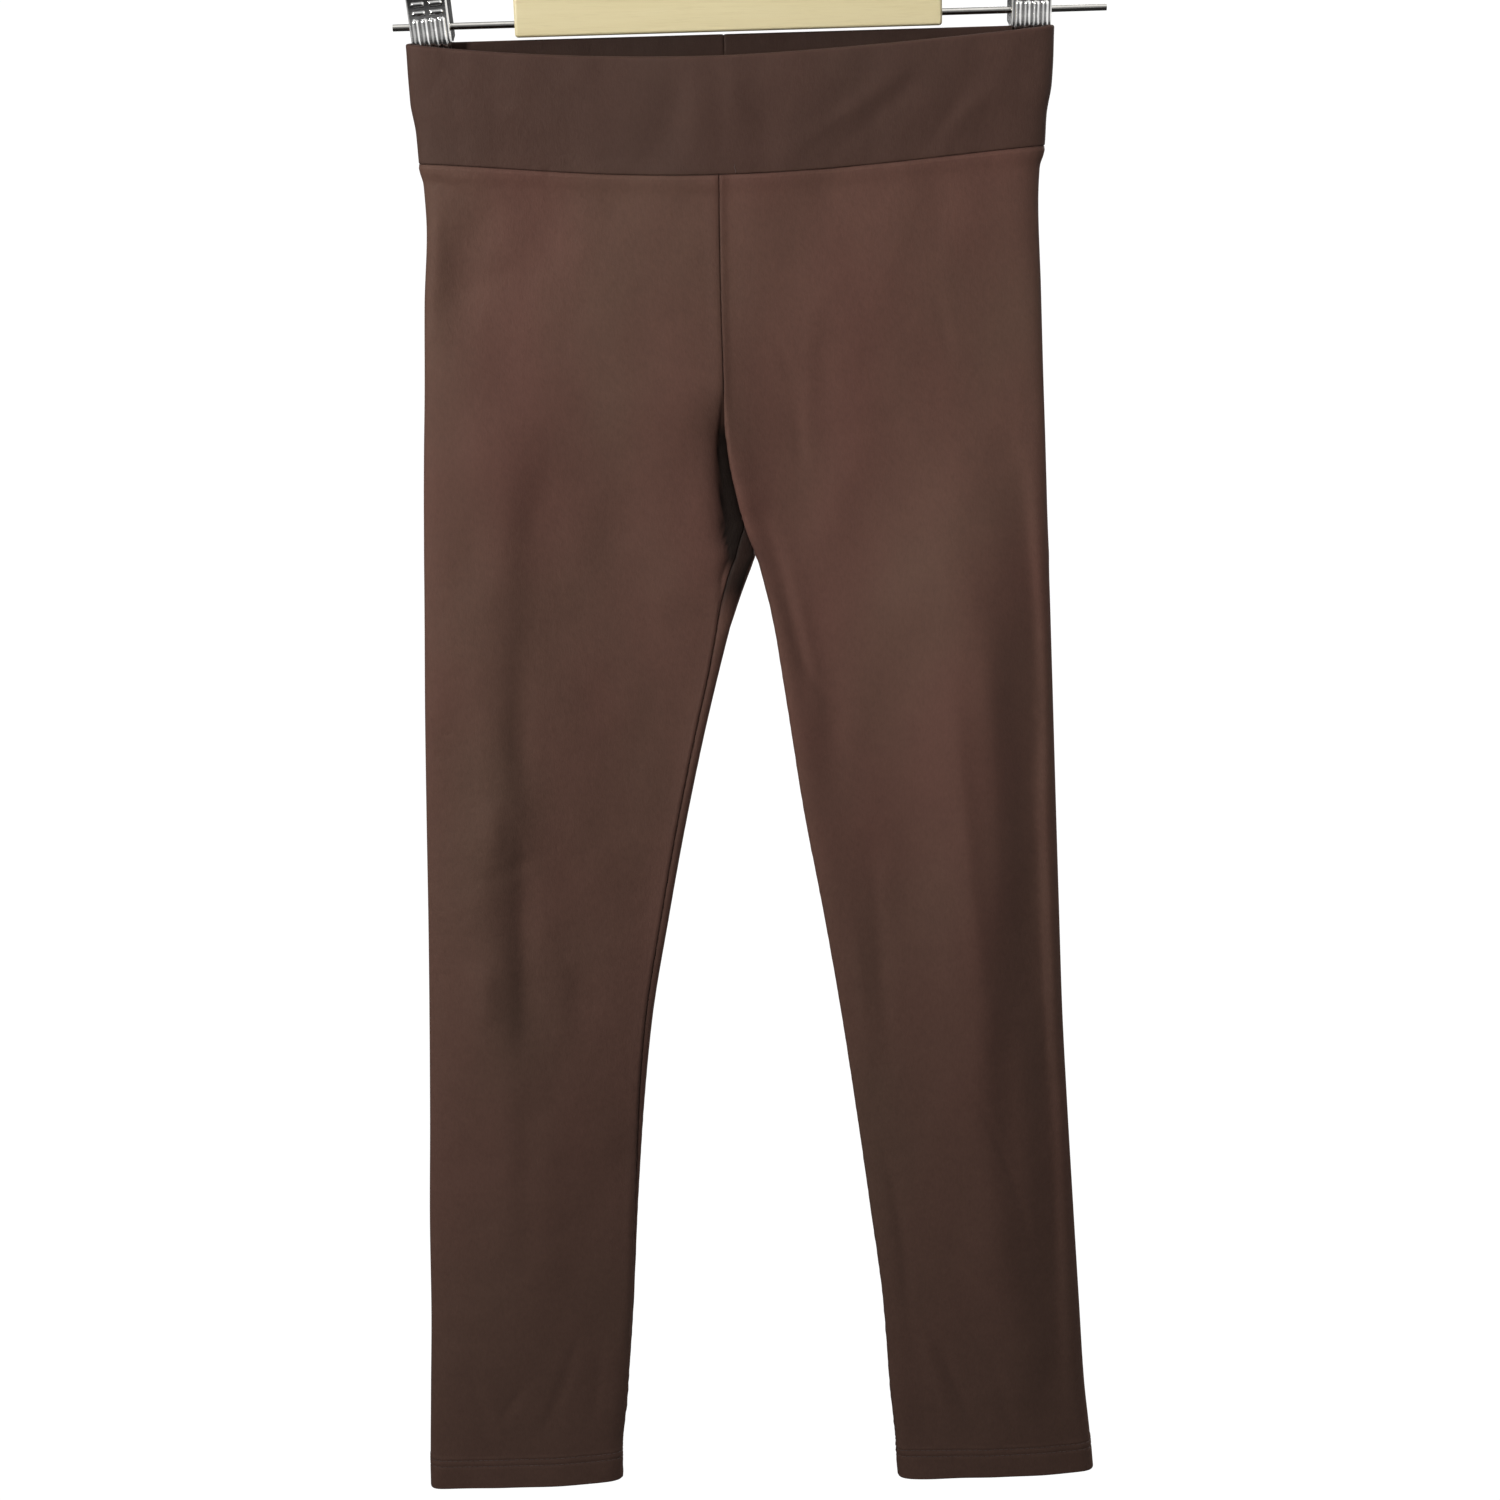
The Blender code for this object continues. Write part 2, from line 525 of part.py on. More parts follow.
def make_hook(collection):
    """Shank up from the bar, a sweep out to the right, and over the crown."""
    r = HOOK_RADIUS
    centre = HOOK_WIRE / 2 - r  # height of the crown's centre; its underside is at 0
    bottom = -(BODY_BOTTOM - BODY_MIDDLE) - HOOK_SET
    points = [(0.0, 0.0, bottom), (0.0, 0.0, -95.0), (0.0, 0.0, -80.0), (0.0, 0.0, -66.0)]
    join = math.radians(-32)
    end_x, end_z = r * math.cos(join), centre + r * math.sin(join)
    for k in range(1, 9):  # an S sweep from the shank to the circle
        t = k / 9
        b = [(1 - t) ** 3, 3 * t * (1 - t) ** 2, 3 * t * t * (1 - t), t**3]
        ctrl = [
            (0.0, -62.0),
            (0.0, -50.0),
            (end_x - 11 * math.sin(-join), end_z - 11 * math.cos(join)),
            (end_x, end_z),
        ]
        points.append((sum(w * c[0] for w, c in zip(b, ctrl)), 0.0, sum(w * c[1] for w, c in zip(b, ctrl))))
    for k in range(22):
        a = join + (math.radians(208) - join) * k / 21
        points.append((r * math.cos(a), 0.0, centre + r * math.sin(a)))
    return wire("hanger_hook", points, HOOK_WIRE, STEEL, collection, HOOK_SIDES)


def make_rod(collection):
    length = (ROD_RIGHT - ROD_LEFT) * MM
    obj = add_object(
        "hanger_rod", cylinder_mesh("hanger_rod", ROD_DIAMETER * MM / 2, length, 20), STEEL, collection, 40
    )
    obj.rotation_euler = (0, math.pi / 2, 0)
    obj.location = ((ROD_LEFT + ROD_RIGHT) / 2 * MM, 0, -ROD_DROP * MM)
    return obj


def jaw_stand_off(drop):
    return float(
        smooth_track(column(JAW, JAW_COLUMNS, "drop"), column(JAW, JAW_COLUMNS, "stand_off"), drop)
    )


def make_jaw(name, rod_x, lean, front_jaw, collection, cutters):
    """A pressed steel jaw: a face with ribs on its lower half and two flanges."""
    half = CLIP_PLATE / 2 - (0 if front_jaw else CLIP_INSET)
    flange_back = CLIP_FLANGE_BACK - PINCH_MID if front_jaw else CLIP_FLANGE_BACK - PINCH_MID + 1.0
    splay = CLIP_SPLAY if front_jaw else 0.0
    sign = -1 if front_jaw else 1
    bm = bmesh.new()

    def strip(path_outer, path_inner):
        """Closed wall between two grids of vertices."""
        rows, cols = len(path_outer), len(path_outer[0])
        for r in range(rows - 1):
            for c in range(cols - 1):
                a, b = path_outer[r], path_outer[r + 1]
                bm.faces.new((a[c], b[c], b[c + 1], a[c + 1]))
                a, b = path_inner[r], path_inner[r + 1]
                bm.faces.new((a[c], a[c + 1], b[c + 1], b[c]))
        for c in range(cols - 1):
            bm.faces.new((path_outer[0][c], path_outer[0][c + 1], path_inner[0][c + 1], path_inner[0][c]))
            bm.faces.new((path_outer[-1][c + 1], path_outer[-1][c], path_inner[-1][c], path_inner[-1][c + 1]))
        for r in range(rows - 1):
            bm.faces.new((path_outer[r][0], path_inner[r][0], path_inner[r + 1][0], path_outer[r + 1][0]))
            bm.faces.new((path_outer[r + 1][-1], path_inner[r + 1][-1], path_inner[r][-1], path_outer[r][-1]))

    outer, inner = [], []
    for drop in JAW_ROWS:
        front = jaw_stand_off(drop)
        flanged = FLANGE_TOP <= drop <= FLANGE_BOTTOM
        rear = -flange_back if flanged else front - 1.0
        reach = (front - rear) / (front + flange_back)
        lean_out = splay * reach
        edge = half - JAW_TAPER * min(max((drop - WAIST_DROP) / 15.0, 0.0), 1.0)
        xs = [-edge - lean_out, -edge - lean_out / 2, -edge]
        ys = [rear, (rear + front) / 2, front]
        ix = [x + CLIP_WALL for x in xs]
        iy = [rear, (rear + front) / 2, front - CLIP_WALL]
        for k in range(RIBS if front_jaw else 0):
            x = (k - (RIBS - 1) / 2) * RIB_PITCH
            up = RIB_HEIGHT if RIBS_TOP < drop < RIBS_BOTTOM else 0.0
            xs += [x - RIB_WIDTH / 2, x, x + RIB_WIDTH / 2]
            ys += [front, front + up, front]
            ix += [x - RIB_WIDTH / 2, x, x + RIB_WIDTH / 2]
            iy += [front - CLIP_WALL] * 3
        xs += [-x for x in xs[2::-1]]
        ys += ys[2::-1]
        ix += [-x for x in ix[2::-1]]
        iy += iy[2::-1]
        outer.append([bm.verts.new((x * MM, (PINCH_MID + sign * y) * MM, (ROD_DROP - drop) * MM)) for x, y in zip(xs, ys)])
        inner.append([bm.verts.new((x * MM, (PINCH_MID + sign * y) * MM, (ROD_DROP - drop) * MM)) for x, y in zip(ix, iy)])
    strip(outer, inner)
    bmesh.ops.recalc_face_normals(bm, faces=bm.faces)
    if bm.calc_volume(signed=True) < 0:
        bmesh.ops.reverse_faces(bm, faces=bm.faces)
    mesh = bpy.data.meshes.new(name)
    bm.to_mesh(mesh)
    bm.free()
    obj = add_object(name, mesh, STEEL, collection, 30)
    obj.location = (rod_x * MM, 0, -ROD_DROP * MM)
    obj.rotation_euler = (0, -math.radians(lean), 0)
    bore = cutter(
        "bore_" + name, (ROD_DIAMETER / 2 + HOLE_GAP) * MM, 60 * MM, (rod_x * MM, 0, -ROD_DROP * MM), "X", cutters
    )
    cut(obj, bore)
    return obj


def make_spring(name, rod_x, collection):
    """The coil round the rod, as a turned sleeve."""
    bore, outer, half = ROD_DIAMETER / 2 + HOLE_GAP, SPRING_OUTER / 2, SPRING_LENGTH / 2
    profile = [(outer, half), (outer, -half), (bore, -half), (bore, half), (outer, half)]
    mesh = bpy.data.meshes.new(name)
    mesh.from_pydata(
        [(x * MM, 0, z * MM) for x, z in profile[:-1]], [(0, 1), (1, 2), (2, 3), (3, 0)], []
    )
    obj = add_object(name, mesh, STEEL, collection)
    turn = obj.modifiers.new("turn", "SCREW")
    turn.steps = turn.render_steps = 20
    turn.use_merge_vertices = True
    turn.merge_threshold = 0.00005
    turn.use_normal_calculate = False
    obj.location = (rod_x * MM, 0, -ROD_DROP * MM)
    obj.rotation_euler = (0, math.pi / 2, 0)
    return obj


def main():
    for obj in list(bpy.data.objects):
        bpy.data.objects.remove(obj, do_unlink=True)
    collection = bpy.data.collections.new("leggings_on_hanger")
    cutters = bpy.data.collections.new("cutters")
    bpy.context.scene.collection.children.link(collection)
    bpy.context.scene.collection.children.link(cutters)
    cutters.hide_render = True
    make_waistband(collection)
    make_leg("right", collection)
    make_leg("left", collection)
    make_body(collection, cutters)
    make_hook(collection)
    make_rod(collection)
    for name, rod_x, lean in CLIPS:
        make_jaw(name + "_front", rod_x, lean, True, collection, cutters)
        make_jaw(name + "_back", rod_x, lean, False, collection, cutters)
        make_spring(name + "_spring", rod_x, collection)


main()
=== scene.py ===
"""Looks of the leggings on a clip hanger: cloth shells with creases, seams and
stitches, wooden bar, bright steel, plain studio.

Sizes are in mm in the tables and functions, and in metres in the meshes.
"drop" is the distance below the hook's rest.  The wearer's right leg is at
x < 0, and the front of the garment faces -Y.
"""

import math

import bmesh
import bpy
import numpy as np
from mathutils import Matrix, Vector


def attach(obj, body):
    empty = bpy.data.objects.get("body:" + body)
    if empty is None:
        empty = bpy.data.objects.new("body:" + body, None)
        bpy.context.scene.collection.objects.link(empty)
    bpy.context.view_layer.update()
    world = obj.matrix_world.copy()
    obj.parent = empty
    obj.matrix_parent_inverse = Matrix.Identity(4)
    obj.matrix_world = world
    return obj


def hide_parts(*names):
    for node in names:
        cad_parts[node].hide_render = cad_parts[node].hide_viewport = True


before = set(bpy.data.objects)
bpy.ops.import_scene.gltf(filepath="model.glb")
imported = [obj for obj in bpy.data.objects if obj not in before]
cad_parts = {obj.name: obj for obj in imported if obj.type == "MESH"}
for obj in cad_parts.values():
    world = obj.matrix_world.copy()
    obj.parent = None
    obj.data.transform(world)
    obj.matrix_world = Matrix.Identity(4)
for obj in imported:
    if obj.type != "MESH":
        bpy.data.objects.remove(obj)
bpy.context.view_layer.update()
MM = 0.001

# ---------------------------------------------------------------- cloth sizes
WAIST_DROP = 157.5
SEAM_DROP = 215.0
JUNCTION_DROP = 402.0
FORK_DROP = 419.5
HEM_DROP = {"right": 971.6, "left": 973.2}
HEM_DEPTH = 21.0
BAND_WALL = 2.0
LEG_WALL = 1.2
HEM_WALL = 2.4
SEAM_GAP = 0.3

SECTION_COLUMNS = (
    "drop", "out_r", "in_r", "out_l", "in_l", "back", "mid",
    "side_f", "side_b", "bow_f", "bow_b", "edge_o", "edge_r", "edge_l",
    "box", "open_f", "open_b", "sag",
)  # fmt: skip
SECTIONS = (
    # drop out_r   in_r   out_l  in_l  back  mid  sf   sb   bf    bb   eo  er  el  box  of   ob   sag
    (150.0, -157.8, -5.0, 159.0, -5.0, -2.5, -5.2, 7.2, 7.3, 12.0, 0.0, 60, 30, 30, 4.0, 1.0, 1.0, 9.6),
    (157.5, -157.8, -5.4, 159.0, -5.4, -2.5, -5.2, 7.2, 7.3, 12.0, 0.0, 60, 30, 30, 4.0, 1.0, 1.0, 9.4),
    (170.0, -157.9, -5.8, 158.9, -5.8, -2.5, -5.0, 7.0, 7.1, 12.5, 0.4, 58, 30, 30, 3.8, 1.0, 1.0, 9.2),
    (185.0, -157.8, -6.2, 158.3, -6.2, -2.5, -4.6, 6.4, 6.4, 12.8, 1.4, 50, 30, 30, 3.0, 1.0, 1.0, 9.0),
    (200.0, -156.1, -6.6, 156.0, -6.6, -2.5, -4.0, 5.8, 5.8, 13.0, 2.8, 44, 30, 30, 2.4, 1.0, 1.0, 8.8),
    (215.0, -155.7, -6.9, 155.3, -6.9, -2.5, -3.4, 5.4, 5.4, 13.2, 4.2, 40, 30, 30, 2.1, 1.0, 1.0, 8.6),
    (226.0, -154.2, -7.1, 152.9, -7.1, -2.5, -3.0, 4.8, 4.8, 13.2, 5.0, 40, 30, 30, 2.0, 1.0, 1.0, 8.4),
    (240.0, -154.0, -7.4, 152.4, -7.4, -2.5, -2.6, 4.6, 4.6, 13.2, 6.0, 40, 30, 30, 2.0, 1.0, 1.0, 8.0),
    (285.0, -157.9, -7.9, 154.1, -7.9, -2.3, -1.6, 4.4, 4.4, 13.0, 7.6, 40, 24, 30, 2.0, 1.0, 1.0, 6.4),
    (330.0, -161.0, -7.9, 155.7, -7.9, -1.8, -0.8, 4.2, 4.2, 12.2, 8.2, 40, 14, 30, 2.0, 0.94, 0.95, 4.4),
    (360.0, -163.4, -6.0, 156.9, -6.0, -1.2, -0.4, 4.2, 4.2, 11.2, 8.2, 40, 10, 28, 2.0, 0.66, 0.74, 3.0),
    (385.0, -165.2, -2.6, 157.8, -2.6, -0.2, -0.2, 4.2, 4.2, 10.2, 8.2, 40, 9, 26, 2.0, 0.28, 0.32, 1.6),
    (402.0, -166.3, 0.8, 158.4, 0.8, 0.8, 0.0, 4.2, 4.2, 9.6, 8.2, 40, 9, 26, 2.0, 0.0, 0.0, 0.8),
    (419.5, -167.4, 6.4, 159.2, 6.4, 6.4, 0.0, 4.2, 4.2, 9.4, 8.2, 40, 10, 26, 2.0, 0.0, 0.0, 0.3),
    (423.0, -167.6, 5.0, 159.4, 7.2, 0.0, 0.0, 4.2, 4.2, 9.3, 8.2, 40, 11, 26, 2.0, 0.0, 0.0, 0.1),
    (430.0, -168.0, 2.0, 159.5, 8.7, 0.0, 0.0, 4.2, 4.2, 9.2, 8.2, 40, 12, 26, 2.0, 0.0, 0.0, 0.0),
    (450.0, -169.2, -5.5, 160.2, 13.1, 0.0, 0.0, 4.2, 4.2, 9.0, 8.0, 40, 14, 26, 2.0, 0.0, 0.0, 0.0),
    (500.0, -172.3, -19.8, 162.0, 20.1, 0.0, 0.0, 4.2, 4.2, 8.8, 7.8, 40, 18, 26, 2.0, 0.0, 0.0, 0.0),
    (560.0, -175.5, -34.2, 164.1, 27.8, 0.0, 0.0, 4.2, 4.2, 8.6, 7.6, 38, 20, 26, 2.0, 0.0, 0.0, 0.0),
    (620.0, -178.5, -46.8, 166.3, 37.4, 0.0, 0.0, 4.2, 4.2, 8.4, 7.4, 36, 22, 26, 2.0, 0.0, 0.0, 0.0),
    (680.0, -181.9, -58.4, 168.6, 46.1, 0.0, 0.0, 4.2, 4.2, 8.2, 7.2, 34, 24, 26, 2.0, 0.0, 0.0, 0.0),
    (740.0, -185.6, -66.0, 172.0, 53.6, 0.0, 0.0, 4.4, 4.4, 8.0, 7.0, 32, 24, 26, 2.0, 0.0, 0.0, 0.0),
    (800.0, -189.7, -71.7, 175.8, 60.5, 0.0, 0.0, 4.6, 4.6, 7.8, 6.8, 30, 26, 26, 2.0, 0.0, 0.0, 0.0),
    (860.0, -192.8, -76.4, 179.7, 67.0, 0.0, 0.0, 4.8, 4.8, 7.4, 6.6, 28, 26, 28, 2.0, 0.0, 0.0, 0.0),
    (915.0, -196.8, -81.8, 183.4, 70.2, 0.0, 0.0, 5.2, 5.2, 7.0, 6.4, 34, 28, 30, 2.0, 0.0, 0.0, 0.0),
    (951.0, -199.3, -86.4, 187.2, 73.3, 0.0, 0.0, 5.8, 5.8, 6.6, 6.0, 44, 34, 38, 2.2, 0.0, 0.0, 0.0),
    (972.0, -200.2, -87.6, 189.0, 74.4, 0.0, 0.0, 6.2, 6.2, 6.2, 5.8, 50, 38, 44, 2.4, 0.0, 0.0, 0.0),
    (985.0, -201.0, -88.4, 190.2, 75.2, 0.0, 0.0, 6.4, 6.4, 6.2, 5.8, 50, 38, 44, 2.4, 0.0, 0.0, 0.0),
)
SAG_POWER = {"right": 2.1, "left": 1.45}
HEM_TILT = {"right": (-0.6, 1.4), "left": (2.4, 0.4)}  # how much lower the hem is at its inner and outer end

# The cloth's front hangs flatter than an even bow: what share of it is left.
FLAT_COLUMNS = ("drop", "left_of_bow")
FLAT = (
    (150.0, 0.62),
    (230.0, 0.56),
    (330.0, 0.50),
    (450.0, 0.48),
    (880.0, 0.50),
    (972.0, 0.45),
    (985.0, 0.45),
)

# Long soft swells and hollows of the fronts: how far the cloth stands out at
# six places between the seam (0 %) and the outer fold (100 %).
RELIEF_COLUMNS = ("drop", "at_10", "at_25", "at_40", "at_55", "at_70", "at_85")
RELIEF = {
    "right": (
        (215.0, 0.0, 0.0, 0.0, 0.0, 0.0, 0.0),
        (240.0, 0.4, 0.2, 0.0, -0.4, -0.3, 0.2),
        (285.0, 0.2, 0.0, -0.5, -0.9, -1.2, -0.9),
        (330.0, 0.5, 0.0, -1.3, -1.3, -0.3, 0.4),
        (370.0, -0.7, -2.3, -3.8, -2.4, 0.3, 0.5),
        (410.0, -0.8, -3.8, -5.0, -3.2, -0.2, 0.0),
        (450.0, -1.3, -3.8, -4.8, -2.6, 0.6, 0.4),
        (500.0, -1.8, -3.8, -4.0, -1.0, 1.8, 0.8),
        (550.0, -1.8, -3.2, -3.4, -0.6, 2.4, 1.0),
        (600.0, -1.8, -3.0, -3.2, -0.8, 2.2, 1.6),
        (650.0, -0.8, -1.5, -1.8, 1.0, 2.8, 1.6),
        (700.0, 0.0, -0.3, 0.0, 1.6, 2.2, 1.3),
        (760.0, 0.2, 0.4, 1.0, 1.8, 1.6, 0.8),
        (820.0, 0.2, 0.6, 1.3, 1.8, 0.9, 0.5),
        (880.0, 0.0, 0.2, 0.8, 0.9, 0.8, 0.3),
        (930.0, 0.2, 0.5, 0.6, 0.3, 0.2, 0.1),
        (972.0, 0.0, 0.2, 0.2, 0.0, 0.0, 0.0),
    ),
    "left": (
        (215.0, 0.0, 0.0, 0.0, 0.0, 0.0, 0.0),
        (240.0, 0.0, 0.0, 0.0, 0.0, 0.0, 0.0),
        (285.0, -0.7, -0.8, -0.3, -0.7, -1.1, -1.4),
        (330.0, -2.5, -3.9, -2.8, -2.5, -2.0, -1.7),
        (370.0, -3.9, -5.9, -4.8, -3.4, -1.4, -0.7),
        (410.0, -4.5, -5.9, -4.5, -2.2, 1.1, 2.0),
        (450.0, -3.6, -5.0, -3.3, 0.3, 4.2, 4.2),
        (500.0, -2.8, -4.9, -3.8, 0.8, 6.2, 6.0),
        (550.0, -2.8, -4.9, -3.8, 1.2, 6.4, 5.8),
        (600.0, -2.4, -4.2, -2.8, 2.4, 6.4, 5.0),
        (650.0, -1.4, -2.0, -0.6, 3.6, 6.0, 3.6),
        (700.0, -0.8, -0.6, 1.0, 4.6, 5.6, 2.4),
        (760.0, -1.2, -0.6, 1.6, 4.6, 5.2, 1.6),
        (820.0, -1.2, -0.8, 1.0, 3.6, 4.4, 1.4),
        (880.0, -1.2, -0.8, 0.2, 1.8, 2.2, 0.6),
        (930.0, -1.3, -1.4, -0.7, 0.8, 1.2, 0.4),
        (972.0, 0.0, -0.6, -0.4, 0.0, 0.0, 0.0),
    ),
}
RELIEF_BEHIND = 0.6  # how strong the other leg's swells are on a leg's back

# The inseams: on the right leg how far the seam lies inside the outline on
# the front, level by level; on the left leg how far round to the back.
INSEAM_COLUMNS = ("drop", "right", "left")
INSEAM = (
    (402.0, 0.0, 0.0),
    (404.0, 1.0, -0.1),
    (411.0, 6.2, -0.5),
    (417.0, 10.0, -0.9),
    (421.0, 10.9, -1.2),
    (426.0, 10.9, -1.7),
    (436.0, 10.2, -2.1),
    (450.0, 8.6, -2.5),
    (461.0, 7.1, -2.7),
    (488.0, 5.3, -3.0),
    (600.0, 4.5, -3.0),
    (700.0, 3.4, -3.0),
    (785.0, 1.4, -2.5),
    (860.0, 0.4, -1.0),
    (972.0, 0.0, 2.0),
)

# The cleft between the legs, on the front of the right leg: its inner strip
# ("shelf" mm wide from the outline) lies deep, at "level" of the front's
# height, before the front face rises; "open" as above.
CLEFT_COLUMNS = ("drop", "shelf", "level", "open", "round")
CLEFT = (
    (150.0, 0.0, 0.10, 1.0, 30.0),
    (300.0, 0.0, 0.10, 1.0, 30.0),
    (325.0, 0.4, 0.10, 0.96, 30.0),
    (341.0, 2.6, 0.08, 0.66, 30.0),
    (352.0, 5.0, 0.05, 0.40, 30.0),
    (374.0, 7.8, 0.03, 0.16, 30.0),
    (396.0, 10.4, 0.05, 0.03, 32.0),
    (402.0, 12.0, 0.08, 0.0, 34.0),
    (411.0, 14.4, 0.15, 0.0, 40.0),
    (420.0, 15.4, 0.28, 0.0, 52.0),
    (428.0, 14.8, 0.50, 0.0, 66.0),
    (438.0, 12.0, 0.78, 0.0, 76.0),
    (450.0, 9.8, 0.92, 0.0, 80.0),
    (475.0, 8.0, 1.0, 0.0, 80.0),
    (620.0, 6.0, 1.0, 0.0, 70.0),
    (800.0, 3.0, 1.0, 0.0, 56.0),
    (950.0, 0.0, 1.0, 0.0, 40.0),
    (985.0, 0.0, 1.0, 0.0, 40.0),
)

# The largest folds, as in the solids: soft troughs along a line through three
# points, on one leg's front or back.
FOLD_COLUMNS = ("leg", "face", "x1", "d1", "x2", "d2", "x3", "d3", "half_width", "depth")
FOLDS = (
    ("right", "front", -95.0, 350.0, -113.0, 500.0, -118.0, 650.0, 26.0, 2.6),
    ("right", "front", -126.0, 560.0, -130.0, 620.0, -122.0, 700.0, 16.0, 1.8),
    ("right", "front", -118.0, 228.0, -135.0, 262.0, -146.0, 300.0, 20.0, 1.6),
    ("left", "front", 132.0, 430.0, 145.0, 560.0, 142.0, 690.0, 17.0, 3.0),
    ("left", "front", 140.0, 660.0, 138.0, 760.0, 160.0, 880.0, 15.0, 2.4),
    ("left", "front", 30.0, 440.0, 44.0, 500.0, 42.0, 560.0, 15.0, 1.5),
    ("right", "back", -105.0, 330.0, -92.0, 470.0, -112.0, 640.0, 24.0, 2.4),
    ("right", "back", -60.0, 430.0, -80.0, 520.0, -92.0, 600.0, 16.0, 1.8),
    ("right", "back", -135.0, 700.0, -128.0, 790.0, -140.0, 880.0, 15.0, 1.8),
    ("left", "back", 112.0, 360.0, 98.0, 500.0, 108.0, 660.0, 24.0, 2.4),
    ("left", "back", 40.0, 430.0, 60.0, 510.0, 66.0, 590.0, 15.0, 1.8),
    ("left", "back", 122.0, 720.0, 116.0, 810.0, 128.0, 890.0, 15.0, 1.8),
)

